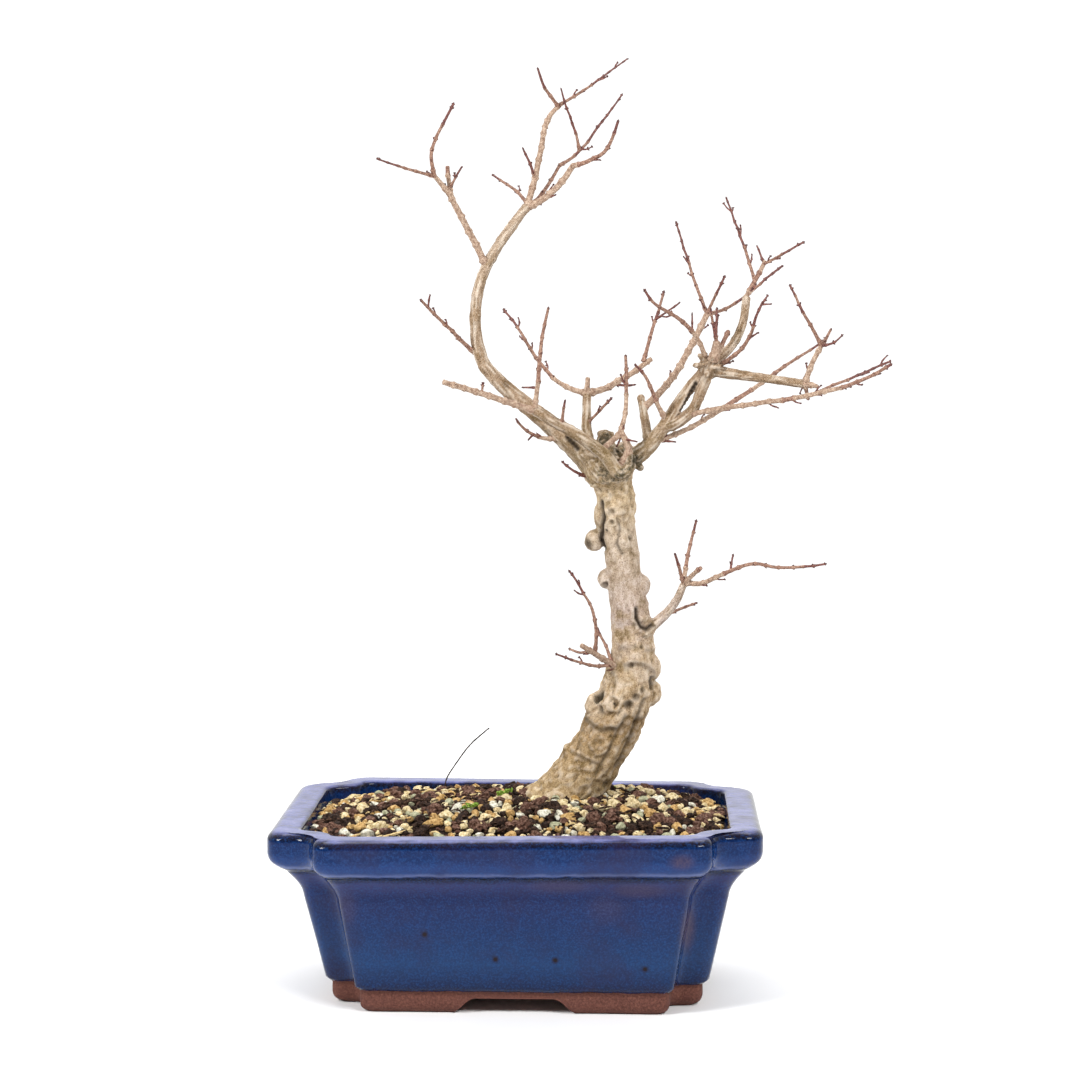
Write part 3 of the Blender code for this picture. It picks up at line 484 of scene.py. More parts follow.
def maple_bark():
    """Maple bark, grown: matt, beige-grey with a pink cast above, olive and ochre lower down.

    It is streaked along the grain, freckled by pores about 1 mm wide, drawn at 1.2 mm so that
    they show, and stained green-black by algae at the crotches. Painted shade darkens its
    cracks, scars, furrows and the undersides of its boughs, and a painted highlight pales the
    bark that stands up.
    """
    made, tree, shader, mm = start_material("maple_bark_grown", 0.85, 0.3)
    parts = add(tree, "SeparateXYZ", {}, {0: mm})
    cloud = add(tree, "TexNoise", {"Scale": 0.1, "Detail": 5.0, "Roughness": 0.65}, {"Vector": mm})
    sway = add(tree, "MapRange", {"To Min": -35.0, "To Max": 35.0}, {"Value": cloud.outputs["Fac"]})
    height = add(tree, "Math", {"operation": "ADD"}, {0: parts.outputs["Z"], 1: sway.outputs[0]})
    low, high = BARK_SPAN
    level = add(tree, "MapRange", {"From Min": low, "From Max": high}, {"Value": height.outputs[0]})
    body = add(tree, "ValToRGB", {}, {0: level.outputs[0]}, BARK_TONES)
    along = add(tree, "VectorMath", {"operation": "MULTIPLY", 1: (1.0, 1.0, 0.45)}, {0: mm})
    streak = add(tree, "TexNoise", {"Scale": 0.5, "Detail": 6.0, "Roughness": 0.7}, {
        "Vector": along.outputs[0]})
    grain = add(tree, "ValToRGB", {}, {0: streak.outputs["Fac"]}, (
        (0.3, "#7d6a52"), (0.45, "#dcd2c6"), (0.55, "#ffffff")))
    zone = add(tree, "ValToRGB", {}, {0: cloud.outputs["Fac"]}, (
        (0.36, "#b4a887"), (0.46, "#f0ebdf"), (0.54, "#ffffff")))
    pores = add(tree, "TexNoise", {"Scale": 1.2, "Detail": 5.0, "Roughness": 0.8}, {"Vector": mm})
    freckle = add(tree, "ValToRGB", {}, {0: pores.outputs["Fac"]}, (
        (0.35, "#54422f"), (0.43, "#c4b6a6"), (0.48, "#ffffff")))
    shaded = body.outputs[0]
    for strength, shade in ((0.9, zone), (0.55, grain), (0.7, freckle)):
        darker = add(tree, "MixRGB", {"blend_type": "MULTIPLY", "Fac": strength}, {
            "Color1": shaded, "Color2": shade.outputs[0]})
        shaded = darker.outputs[0]
    glint = add(tree, "ValToRGB", {}, {0: pores.outputs["Fac"]}, ((0.56, 0.0), (0.74, 0.6)))
    raised_highlight, painted_shade, algae = [
        add(tree, "Attribute", {"attribute_name": name}).outputs["Fac"]
        for name in ("high", "painted_shade", "algae")]
    patchy = add(tree, "TexNoise", {"Scale": 0.45, "Detail": 6.0, "Roughness": 0.75}, {
        "Vector": mm})
    spread = add(tree, "Math", {"operation": "MULTIPLY_ADD", 1: 0.45}, {
        0: algae, 2: patchy.outputs["Fac"]})
    moss = add(tree, "ValToRGB", {}, {0: spread.outputs[0]}, ((0.8, 0.0), (1.06, 0.92)))
    # Over the bark's own colours go a painted highlight on bark that stands up, painted shade in
    # its cracks, pits and dips and under its boughs, then the algae.
    colour = layered(tree, shaded, (
        (glint.outputs[0], "#eadfce"), (raised_highlight, "#e6d9c8"), (painted_shade, "#2a2016"),
        (moss.outputs[0], "#332e1e")))
    rough = add(tree, "Math", {"operation": "ADD"}, {
        0: pores.outputs["Fac"], 1: streak.outputs["Fac"]})
    finish(tree, shader, colour, rough.outputs[0], 0.6, 0.0006)
    return made


def twig_bark(name, dark, mid, light, roughness, grain_mm):
    """Bark of a twig, grown: satin when young and matt when old, freckled by lenticels."""
    made, tree, shader, mm = start_material(name, roughness)
    grain = add(tree, "TexNoise", {"Scale": 1 / grain_mm, "Detail": 4.0, "Roughness": 0.7}, {
        "Vector": mm})
    tone = add(tree, "ValToRGB", {}, {0: grain.outputs["Fac"]}, (
        (0.34, dark), (0.5, mid), (0.66, light)))
    finish(tree, shader, tone.outputs[0], grain.outputs["Fac"], 0.5, 0.0003)
    return made


def studio_paper():
    """Rolled studio paper: matt and white, so that the ground fades into the background."""
    made, tree, shader, mm = start_material("studio_paper", 0.9)
    grain = add(tree, "TexNoise", {"Scale": 0.02}, {"Vector": mm})
    tone = add(tree, "ValToRGB", {}, {0: grain.outputs["Fac"]}, (
        (0.3, "#f4f4f4"), (0.7, "#f7f7f7")))
    tree.links.new(tone.outputs[0], shader.inputs["Base Color"])
    return made


# Shapes.

class Heap:
    """The corners, the faces and each face's finish of one piece while it is made."""

    def __init__(self):
        self.verts = []
        self.faces = []
        self.finish = []

    def add(self, verts, faces, finish=0):
        first = len(self.verts)
        self.verts.extend(verts)
        self.faces.extend(tuple(first + i for i in face) for face in faces)
        self.finish.extend([finish] * len(faces))


def dress(obj, replaced):
    """Fixes a finished piece to the part's one body, in place of the solids it stands for."""
    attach(obj, "root")
    if replaced:
        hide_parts(*replaced)


def object_from(name, heap, materials, smooth=True):
    """One mesh object, from corners in millimetres round the middle of the pot."""
    mesh = bpy.data.meshes.new(name)
    mesh.from_pydata([tuple(v * MM + POT_CENTRE) for v in heap.verts], [], heap.faces)
    for material in materials:
        mesh.materials.append(material)
    mesh.polygons.foreach_set("material_index", heap.finish)
    if smooth:
        mesh.shade_smooth()
    mesh.update()
    obj = bpy.data.objects.new(name, mesh)
    bpy.context.scene.collection.objects.link(obj)
    return obj


def evaluated_mesh(obj):
    bpy.context.view_layer.update()
    graph = bpy.context.evaluated_depsgraph_get()
    return bpy.data.meshes.new_from_object(obj.evaluated_get(graph))


def mix(values, share):
    """The value at a share of the way along a row of values, changing evenly between them."""
    if len(values) == 1:
        return values[0]
    place = min(max(share, 0.0), 1.0) * (len(values) - 1)
    first = min(int(place), len(values) - 2)
    return values[first] + (values[first + 1] - values[first]) * (place - first)


def limb_path(root, made, step=LIMB_STEP):
    """The points along a limb's middle and the girth at each, as in the source."""
    steps = max(2, round(made.reach / step), len(made.girths) - 1)
    points = [Vector(root)]
    for i in range(steps):
        bearing = math.radians(mix(made.bearings, (i + 0.5) / steps))
        ahead = Vector((math.sin(bearing) * made.reach, made.back, math.cos(bearing) * made.reach))
        points.append(points[-1] + ahead / steps)
    return points, [mix(made.girths, i / steps) for i in range(steps + 1)]


def foot_on(points, at):
    """Where a limb grows from, on or beside the line of its parent."""
    if isinstance(at, tuple):
        return mix(points, at[0]) + Vector(at[1:])
    return mix(points, at)


def rounded_line(points, girths, step):
    """The same line rounded through its points and cut into short steps, with its girths."""
    line, widths = [], []
    last = len(points) - 1
    for i in range(last):
        before, after = points[max(i - 1, 0)], points[min(i + 2, last)]
        a, b = points[i], points[i + 1]
        count = max(1, round((b - a).length / step))
        for k in range(count):
            t = k / count
            line.append(0.5 * (
                2 * a + (b - before) * t + (2 * before - 5 * a + 4 * b - after) * t * t
                + (3 * a - before - 3 * b + after) * t ** 3))
            widths.append(girths[i] + (girths[i + 1] - girths[i]) * t)
    return line + [points[last]], widths + [girths[last]]


def directions_of(line):
    """The direction ahead and two directions aside at each point, turning without a twist."""
    ahead = (line[1] - line[0]).normalized()
    across = ahead.orthogonal().normalized()
    made = []
    for i in range(len(line)):
        ahead = (line[min(i + 1, len(line) - 1)] - line[max(i - 1, 0)]).normalized()
        across = (across - ahead * across.dot(ahead)).normalized()
        made.append((ahead, across, ahead.cross(across)))
    return made


def sweep(heap, line, radii, sides, finishes, roughness=0.0):
    """A closed tube along a line, with a finish for each stretch between two of its points."""
    rings = directions_of(line)
    first = len(heap.verts)
    for point, radius, (ahead, across, aside) in zip(line, radii, rings):
        for k in range(sides):
            angle = math.tau * k / sides
            out = across * math.cos(angle) + aside * math.sin(angle)
            swell = 1.0 + roughness * noise.noise((point + out * 3.0) * 0.9)
            heap.verts.append(point + out * (radius * swell))
    for level in range(len(line) - 1):
        low = first + level * sides
        for k in range(sides):
            j = (k + 1) % sides
            heap.faces.append((low + k, low + j, low + sides + j, low + sides + k))
            heap.finish.append(finishes[level])
    for level, finish in ((0, finishes[0]), (len(line) - 1, finishes[-1])):
        low = first + level * sides
        middle = len(heap.verts)
        heap.verts.append(line[level] + rings[level][0] * radii[level] * (0.4 if level else -0.4))
        for k in range(sides):
            j = (k + 1) % sides
            heap.faces.append((low + k, low + j, middle) if level else (low + j, low + k, middle))
            heap.finish.append(finish)


def ball(heap, centre, radius, flat, rings=12, sides=20):
    """A ball, made taller or lower by a share."""
    verts = [centre + Vector((0, 0, radius * flat))]
    for i in range(1, rings):
        tilt = math.pi * i / rings
        for k in range(sides):
            turn = math.tau * k / sides
            across, deep = math.sin(tilt) * math.cos(turn), math.sin(tilt) * math.sin(turn)
            verts.append(centre + Vector((across, deep, math.cos(tilt) * flat)) * radius)
    verts.append(centre - Vector((0, 0, radius * flat)))
    last = len(verts) - 1
    faces = []
    for k in range(sides):
        j = (k + 1) % sides
        faces.append((0, 1 + k, 1 + j))
        faces.append((last, last - sides + j, last - sides + k))
        for i in range(rings - 2):
            low = 1 + i * sides
            faces.append((low + k, low + sides + k, low + sides + j, low + j))
    heap.add(verts, faces)


# Pot.

# The seed of the pot's unevenness, how many steps its turns and faces are cut into, how high
# the glaze's edge is, and the angle from which an edge of the fired clay stays sharp.
HAND_SEED = 7
ARC_STEPS = 9
ROLL_STEPS = 8
WALL_STEPS = 14
INNER_STEPS = 8
RING_STEPS = 32
OUTLINE_RUNS = (18, 2, 2, 30)
FINE_STEP = 1.2
GLAZE_EDGE = 0.4
SHARP_ANGLE = 38

# Brown places in the glaze on the front of the pot: where, half as wide and half as high, how
# strong. Then places where a bubble burst and left a pinhole.
Patch = namedtuple("Patch", "x z wide high strength")
PATCHES = (
    Patch(90.8, 45.6, 4.0, 13.0, 0.85), Patch(87.3, 88.2, 6.0, 4.0, 0.8),
    Patch(24.6, 72.9, 16.0, 4.0, 0.5), Patch(65.9, 70.7, 14.0, 4.5, 0.6),
    Patch(48.0, 60.0, 9.0, 8.0, 0.3), Patch(-86.0, 60.0, 5.0, 10.0, 0.35),
)
PINHOLES = ((-46.2, -77.0, 44.7), (-9.4, -75.0, 31.3), (68.6, -74.0, 26.6), (21.8, -75.0, 31.1))


def straight(start, end, steps):
    return [start.lerp(end, i / steps) for i in range(1, steps + 1)]


def turn_corner(before, corner, after, start, end):
    """Points round one corner, from a distance before it to a distance after it."""
    first = corner + (before - corner).normalized() * start
    last = corner + (after - corner).normalized() * end
    made = []
    for i in range(ARC_STEPS + 1):
        share = i / ARC_STEPS
        made.append(first.lerp(corner, share).lerp(corner.lerp(last, share), share))
    return made


def notched_outline(half_length, half_depth, notch, inset):
    """The pot's outline: a rectangle with a soft notch at each corner, cut into short steps."""
    length = notch.length - notch.length_loss * inset
    depth = notch.depth - notch.depth_loss * inset
    scale = length / notch.length
    filled = notch.filled * scale
    corners = [Vector(corner) for corner in (
        (half_length, 0.0),
        (half_length, half_depth - depth),
        (half_length - length + filled, half_depth - depth + filled),
        (half_length - length, half_depth),
        (0.0, half_depth),
    )]
    quarter = [corners[0]]
    for i, (start, end) in enumerate(notch.turns):
        turned = turn_corner(corners[i], corners[i + 1], corners[i + 2], start * scale, end * scale)
        quarter += straight(quarter[-1], turned[0], OUTLINE_RUNS[i])[:-1] + turned
    quarter += straight(quarter[-1], corners[-1], OUTLINE_RUNS[-1])
    outline = [(x, y) for x, y in quarter]
    outline += [(-x, y) for x, y in reversed(quarter[:-1])]
    outline += [(-x, -y) for x, y in quarter[1:]]
    outline += [(x, -y) for x, y in reversed(quarter[1:-1])]
    return outline


def taller_share(x, y):
    """By what share the fired pot is taller at a place."""
    across, deep = x / (POT_LENGTH / 2), y / (POT_DEPTH / 2)
    middle, right, back, twist = TALLER
    return middle + right * across + back * deep + twist * across * deep


def pot_loop(height, inset, notch):
    outline = notched_outline(POT_LENGTH / 2 - inset, POT_DEPTH / 2 - inset, notch, inset)
    return [Vector((x, y, height * (1 + taller_share(x, y)))) for x, y in outline]


def fine_levels(levels, step):
    """The same heights and insets, rounded through and cut into short steps."""
    line, _ = rounded_line([Vector(level) for level in levels], [0] * len(levels), step)
    return line


def pot_outside():
    """Heights and insets of the pot's outer face, from the foot to the rim."""
    levels = fine_levels([*FOOT_EDGE, (FOOT_TOP, FOOT_INSET)], FINE_STEP)
    levels.append(Vector((GLAZE_LINE, FOOT_INSET - 0.7)))
    levels.append(Vector((GLAZE_LINE + GLAZE_EDGE, FOOT_INSET - 1.5)))
    foot = Vector((WALL_FOOT, WALL_FOOT_INSET))
    wall = [foot] + straight(foot, Vector((WALL_TOP, WALL_TOP_INSET)), WALL_STEPS)
    levels += wall[:-2] + fine_levels(wall[-2:] + list(COVE_AND_LIP), FINE_STEP)
    levels += straight(levels[-1], Vector((POT_HEIGHT - RIM_ROLL_RISE, 0.0)), 4)
    for i in range(1, ROLL_STEPS + 1):
        angle = math.radians(90 * i / ROLL_STEPS)
        height = POT_HEIGHT - RIM_ROLL_RISE * (1 - math.sin(angle))
        levels.append(Vector((height, RIM_ROLL_RUN * (1 - math.cos(angle)))))
    return levels


def pot_inside():
    """Heights and insets of the pot's inner face, from the rim over its round edge to the floor."""
    top, low_rim, wall, foot, floor = [Vector(level) for level in INSIDE]
    corner = Vector((POT_HEIGHT, low_rim.y))
    edge = turn_corner(top, corner, wall, low_rim.y - top.y, POT_HEIGHT - low_rim.x)
    levels = straight(Vector((POT_HEIGHT, RIM_ROLL_RUN)), top, 4)[:-1] + edge
    return levels + straight(edge[-1], wall, INNER_STEPS) + [foot, floor]


def loft(heap, loops):
    """A closed body through loops of equal count, with its first and last loop as flat ends."""
    count = len(loops[0])
    faces = [tuple(reversed(range(count)))]
    for level in range(len(loops) - 1):
        low = level * count
        for i in range(count):
            j = (i + 1) % count
            faces.append((low + i, low + j, low + count + j, low + count + i))
    top = (len(loops) - 1) * count
    faces.append(tuple(range(top, top + count)))
    heap.add([point for loop in loops for point in loop], faces)


def hand_made(point):
    """The slight unevenness of a pot pressed and fettled by hand."""
    broad = noise.noise_vector(point * 0.016) * 0.7
    fine = noise.noise_vector(point * 0.07 + Vector((40, 0, 0))) * 0.12
    sway = broad + fine
    if abs(point.z - GLAZE_LINE) < 1.0:
        sway.z = noise.noise(point * 0.11) * 0.5
    else:
        sway.z *= 0.35
    low = min(1.0, point.z / 6.0)
    edge = 1.0 if point.z < WALL_TOP else 0.4
    moved = point + Vector((sway.x * edge, sway.y * edge, sway.z * low))
    moved.x = max(-POT_LENGTH / 2, min(POT_LENGTH / 2, moved.x))
    moved.y = max(-POT_DEPTH / 2, min(POT_DEPTH / 2, moved.y))
    return moved


def recess_cutter(heap, half_width, reach, across):
    """A recess between two feet, wider at the ground than at its top, with a rounded top."""
    top = half_width - RECESS_SLOPE
    section = [Vector((half_width + CUT_PAST, -CUT_PAST))]
    corner, middle = Vector((top, FOOT_HEIGHT)), Vector((0.0, FOOT_HEIGHT))
    section += turn_corner(section[0], corner, middle, 4.0, 3.0)
    outline = [(-x, z) for x, z in section] + [(x, z) for x, z in reversed(section)]
    count = len(outline)
    verts = [Vector((x, y, z)) for y in (-reach, reach) for x, z in outline]
    faces = [tuple(range(count)), tuple(reversed(range(count, 2 * count)))]
    faces += [(i + count, (i + 1) % count + count, (i + 1) % count, i) for i in range(count)]
    if across:
        verts = [Vector((-v.y, v.x, v.z)) for v in verts]
    heap.add(verts, faces)


def drain_cutter(heap, x):
    """A round hole through the floor of the pot."""
    radius = DRAIN_DIAMETER / 2
    turns = [math.tau * k / RING_STEPS for k in range(RING_STEPS)]
    ring = [(x + radius * math.cos(turn), radius * math.sin(turn)) for turn in turns]
    ends = (FOOT_HEIGHT - CUT_PAST, FLOOR_TOP + CUT_PAST)
    loft(heap, [[Vector((u, v, z)) for u, v in ring] for z in ends])


def cut(obj, heaps):
    """Cuts the heaps out of a piece in one Boolean and applies it."""
    holder = bpy.data.collections.new("cutters")
    bpy.context.scene.collection.children.link(holder)
    for heap in heaps:
        cutter = object_from("cutter", heap, [], smooth=False)
        bm = bmesh.new()
        bm.from_mesh(cutter.data)
        bmesh.ops.recalc_face_normals(bm, faces=bm.faces)
        bm.to_mesh(cutter.data)
        bm.free()
        bpy.context.scene.collection.objects.unlink(cutter)
        holder.objects.link(cutter)
    boolean = obj.modifiers.new("cut", "BOOLEAN")
    boolean.operation = "DIFFERENCE"
    boolean.operand_type = "COLLECTION"
    boolean.collection = holder
    boolean.solver = "EXACT"
    made = evaluated_mesh(obj)
    obj.modifiers.clear()
    obj.data = made
    for cutter in list(holder.objects):
        bpy.data.objects.remove(cutter, do_unlink=True)
    bpy.data.collections.remove(holder)


def pot_cutters():
    heaps = [Heap() for _ in range(5)]
    recess_cutter(heaps[0], FRONT_RECESS_HALF, POT_DEPTH / 2, False)
    recess_cutter(heaps[1], SIDE_RECESS_HALF, POT_LENGTH / 2, True)
    inset = FOOT_INSET + FOOT_THICKNESS
    pocket = notched_outline(POT_LENGTH / 2 - inset, POT_DEPTH / 2 - inset, POCKET_NOTCH, 0.0)
    loft(heaps[2], [[Vector((x, y, z)) for x, y in pocket] for z in (-CUT_PAST, FOOT_HEIGHT)])
    drain_cutter(heaps[3], -DRAIN_SPACING / 2)
    drain_cutter(heaps[4], DRAIN_SPACING / 2)
    return heaps


def mark_glaze(mesh):
    """Keeps each corner's height before firing, and how brown the glaze broke there."""
    levels, browns = [], []
    for vert in mesh.vertices:
        place = (vert.co - POT_CENTRE) / MM
        levels.append(place.z / (1 + taller_share(place.x, place.y)))
        brown = 0.0
        if place.y < 0:
            for patch in PATCHES:
                across, up = (place.x - patch.x) / patch.wide, (place.z - patch.z) / patch.high
                away = across ** 2 + up ** 2
                brown = max(brown, patch.strength * math.exp(-away ** 2))
        browns.append(brown)
    for name, values in (("level", levels), ("brown", browns)):
        mesh.attributes.new(name, "FLOAT", "POINT").data.foreach_set("value", values)


def make_pot(glaze, clay):
    noise.seed_set(HAND_SEED)
    heap = Heap()
    loops = [pot_loop(*level, OUTER_NOTCH) for level in pot_outside()]
    loops += [pot_loop(*level, INNER_NOTCH) for level in pot_inside()]
    loft(heap, [[hand_made(point) for point in loop] for loop in loops])
    pot = object_from("pot_glazed", heap, [glaze, clay])
    cut(pot, pot_cutters())
    bare_below = (GLAZE_LINE + 0.05) * MM
    for face in pot.data.polygons:
        face.material_index = 1 if face.center.z < bare_below else 0
    pot.data.shade_smooth()
    pot.data.set_sharp_from_angle(angle=math.radians(SHARP_ANGLE))
    mark_glaze(pot.data)
    dress(pot, ["pot"])


# Soil.

# How far the fine bed lies below the grains' level, and how far the soil dips to the back wall.
SOIL_SEED = 11
BED_SINK = 2.0
BED_RINGS = 26
BACK_DIP = 4.8
DIP_FROM = 28.0

# The opening between the pot's inner walls: half its length and depth, and how far out its
# corners reach.
OPENING = (112.0, 77.0, 167.0)

# Grains: a broken stone's flats and how far from its middle they lie, how much larger it is made
# to fill its place, and how many different ones there are of each kind and fineness. Then their
# radii with how many of each are dropped, the cells in which their neighbours are looked for, by
# what share of their radii they keep apart, and the angle from which their edges are sharp.
FLATS, FLAT_REACH, GRAIN_SCALE = 8, 0.68, 1.12
DIFFERENT = 16
GRAIN_SIZES = ((1.9, 2.7, 3000), (1.3, 1.9, 5200), (0.8, 1.3, 9000))
GRAIN_CELL = 6.0
NEAREST = 0.84
GRAIN_SHARP_ANGLE = 28
SMALL_LITTER = 330
SPRIG_LEAVES = 14
Grain = namedtuple("Grain", "x y z radius")
CRUMB, OCHRE, CREAM, WHITE, GREEN, BROWN, CHIP, STRAW, SPRIG = range(9)
KINDS = (CRUMB, OCHRE, CREAM, WHITE, GREEN, BROWN, CHIP)
LARGE_SHARES = (22, 20, 26, 5, 6, 21, 0)
SMALL_SHARES = (38, 13, 15, 2, 4, 16, 12)

# Litter at its place on the soil: both ends, how wide and how thick it is, its finish.
Litter = namedtuple("Litter", "start end wide thick finish")
LITTER = (
    Litter((-75.8, -10.9), (-52.3, 1.7), 3.4, 2.0, CHIP),
    Litter((-70.9, -68.4), (-54.4, -59.7), 1.6, 0.8, STRAW),
    Litter((48.1, 63.5), (76.6, 67.8), 1.3, 0.7, STRAW),
    Litter((99.0, 40.8), (107.7, 53.5), 1.5, 0.8, STRAW),
    Litter((97.0, 6.2), (110.0, 15.0), 0.7, 0.5, STRAW),
    Litter((-30.9, -26.9), (-20.9, -18.9), 1.2, 1.2, SPRIG),
    Litter((-12.8, 5.4), (-5.0, 13.4), 1.1, 1.2, SPRIG),
    Litter((42.4, 26.5), (50.4, 32.5), 1.1, 1.2, SPRIG),
)

# A curled rootlet, and a thin dead stem that leans out of the soil at the back.
ROOTLET = ((-46.9, -3.9, 100.0), (-47.5, 12.0, 102.0), (-45.0, 24.0, 102.5), (-40.9, 16.9, 100.5))
DEAD_STEM = (
    (-46.5, 60.0, 96.0), (-44.8, 60.0, 103.3), (-40.2, 60.0, 110.8), (-31.6, 60.0, 122.4),
    (-20.7, 60.0, 132.2),
)


def soil_height(x, y):
    """The height of the soil: it mounds up to the seat under the trunk and is low at the back."""
    away = Vector((x - SEAT_CENTRE[0], y - SEAT_CENTRE[1]))
    if away.length <= SEAT_RADIUS:
        return SOIL_SEAT
    reach = math.inf
    halves = (SOIL_HALF_LENGTH, SOIL_HALF_DEPTH)
    for part, half, middle in zip(away.normalized(), halves, SEAT_CENTRE):
        if part:
            reach = min(reach, (math.copysign(half, part) - middle) / part)
    share = min(1.0, max(0.0, (reach - away.length) / (reach - SEAT_RADIUS)))
    washed = BACK_DIP * min(1.0, max(0.0, (y - DIP_FROM) / (SOIL_HALF_DEPTH - DIP_FROM)))
    return SOIL_EDGE + (SOIL_SEAT - SOIL_EDGE) * math.sin(share * math.pi / 2) - washed


def in_pot(x, y, radius):
    """Whether a grain of this radius lies clear of the pot's inner wall."""
    half_x, half_y, corner = OPENING
    x, y = abs(x), abs(y)
    return x + radius < half_x and y + radius < half_y and x + y + 1.4 * radius < corner


def larger_stones():
    """The larger stones at the places that they have in the source."""
    rng = random.Random(STONE_SEED)
    stones = []
    rows = int(2 * SOIL_HALF_DEPTH / STONE_SPACING) + 1
    columns = int(2 * SOIL_HALF_LENGTH / STONE_SPACING) + 1
    for row in range(rows):
        for column in range(columns):
            x = -SOIL_HALF_LENGTH + (column + row % 2 / 2) * STONE_SPACING
            x += rng.uniform(-1, 1) * STONE_SHIFT
            y = -SOIL_HALF_DEPTH + row * STONE_SPACING + rng.uniform(-1, 1) * STONE_SHIFT
            radius, rise = rng.uniform(*STONE_RADIUS), rng.uniform(*STONE_RISE)
            rng.uniform(0, math.tau)  # The source turns its stone by this.
            if in_pot(x, y, radius * 0.8):
                stones.append(Grain(x, y, soil_height(x, y) + rise - radius * 0.8, radius))
    return stones


def stone(rng, steps, crumbly=False):
    """One grain of radius 1 as corners and faces: a broken stone with flats, or a rough crumb."""
    bm = bmesh.new()
    bmesh.ops.create_icosphere(bm, subdivisions=steps, radius=1.0)
    seed = Vector([rng.uniform(0, 90) for _ in range(3)])
    squash = Vector((rng.uniform(0.8, 1.2), rng.uniform(0.7, 1.0), rng.uniform(0.6, 0.9)))
    flats = [
        Vector([rng.uniform(-1, 1) for _ in range(3)]).normalized()
        for _ in range(0 if crumbly else FLATS)]
    broad, fine = (0.35, 0.4) if crumbly else (0.3, 0.1)
    verts = []
    for vert in bm.verts:
        out = vert.co.normalized()
        reach = 1.0 + broad * noise.noise(out * 1.3 + seed) + fine * noise.noise(out * 3.4 + seed)
        for flat in flats:
            reach = min(reach, FLAT_REACH / max(out.dot(flat), 0.05))
        verts.append(Vector([out[i] * reach * squash[i] * GRAIN_SCALE for i in range(3)]))
    faces = [tuple(v.index for v in face.verts) for face in bm.faces]
    bm.free()
    return verts, faces


def cell_of(x, y):
    """The square cell of the soil that a place lies in."""
    return int(x // GRAIN_CELL), int(y // GRAIN_CELL)


def scatter(rng, sizes, taken):
    """Grains dropped one by one where they touch none that lie there, the largest first."""
    by_cell = {}
    for grain in taken:
        by_cell.setdefault(cell_of(grain.x, grain.y), []).append(grain)
    grains = list(taken)
    for low, high, tries in sizes:
        for _ in range(tries):
            radius = rng.uniform(low, high)
            x, y = rng.uniform(-1, 1) * OPENING[0], rng.uniform(-1, 1) * OPENING[1]
            if not in_pot(x, y, radius * 0.9):
                continue
            column, row = cell_of(x, y)
            near = [
                grain for i in (-1, 0, 1) for j in (-1, 0, 1)
                for grain in by_cell.get((column + i, row + j), ())]
            if any((grain.x - x) ** 2 + (grain.y - y) ** 2
                   < ((grain.radius + radius) * NEAREST) ** 2 for grain in near):
                continue
            height = soil_height(x, y) - BED_SINK + radius * rng.uniform(0.45, 1.1)
            grain = Grain(x, y, height, radius)
            by_cell.setdefault((column, row), []).append(grain)
            grains.append(grain)
    return grains


def soil_bed(heap):
    """The dark fine bed that the grains lie in, down the inside of the pot to its floor."""
    _, low_rim, wall, foot, floor = INSIDE
    edge = pot_loop(SOIL_EDGE - BED_SINK, low_rim[1] + 1.3, INNER_NOTCH)
    loops = [
        pot_loop(height + lift, inset + 0.6, INNER_NOTCH)
        for (height, inset), lift in ((floor, 0.4), (foot, 0.4), (wall, 0.0))] + [edge]
    centre = Vector((*SEAT_CENTRE, 0.0))
    for ring in range(1, BED_RINGS):
        loop = []
        for point in edge:
            place = Vector((point.x, point.y, 0.0)).lerp(centre, ring / BED_RINGS)
            rough = noise.noise(place * 0.5) * 0.9 + noise.noise(place * 0.21) * 0.8
            height = soil_height(place.x, place.y) - BED_SINK + rough
            loop.append(Vector((place.x, place.y, height)))
        loops.append(loop)
    loft(heap, loops)


def lay_litter(heap, rng):
    """Bark chips, straws and sprigs: the listed ones that stand out, then many small ones between.
    """
    pieces = list(LITTER)
    for _ in range(SMALL_LITTER):
        x, y = rng.uniform(-1, 1) * OPENING[0], rng.uniform(-1, 1) * OPENING[1]
        length, turn = rng.uniform(2.5, 8.0), rng.uniform(0, math.tau)
        if in_pot(x, y, length / 2):
            ahead = Vector((math.cos(turn), math.sin(turn))) * length / 2
            wide = rng.uniform(0.5, 1.6)
            finish = rng.choices((CHIP, STRAW, CRUMB), (6, 2, 2))[0]
            middle = Vector((x, y))
            pieces.append(Litter(middle - ahead, middle + ahead, wide, wide, finish))
    for piece in pieces:
        start, end = Vector(piece.start), Vector(piece.end)
        middle = (start + end) / 2
        bend = (end - start).orthogonal() * rng.uniform(-0.12, 0.12)
        rise = rng.uniform(0.3, 1.4) + piece.thick / 2
        points = [Vector((*p, soil_height(*p) + rise + lift)) for p, lift in (
            (start, rng.uniform(-0.6, 0.6)), (middle + bend, 0.4), (end, rng.uniform(-0.6, 0.6)))]
        line, widths = rounded_line(points, [0.7, 1.1, 0.6], 1.0)
        finishes = [piece.finish] * len(line)
        sweep(heap, line, [w * piece.wide / 2 for w in widths], 6, finishes, 0.5)
        if piece.finish == SPRIG:
            for _ in range(SPRIG_LEAVES):
                foot = line[rng.randrange(len(line))]
                aside, deep, up = [
                    rng.uniform(low, high) for low, high in ((-2.6, 2.6), (-2.6, 2.6), (0.4, 2.2))]
                out = Vector((aside, deep, up))
                leaf = [foot, foot + out * 0.55 + Vector((0.0, 0.0, 0.4)), foot + out]
                sweep(heap, leaf, [0.25, 0.75, 0.2], 5, [SPRIG] * 3, 0.3)
    for points, girth, finish in ((ROOTLET, 1.1, BROWN), (DEAD_STEM, 0.8, CRUMB)):
        line, widths = rounded_line([Vector(p) for p in points], [girth] * len(points), 1.0)
        sweep(heap, line, [w / 2 for w in widths], 6, [finish] * len(line), 0.4)


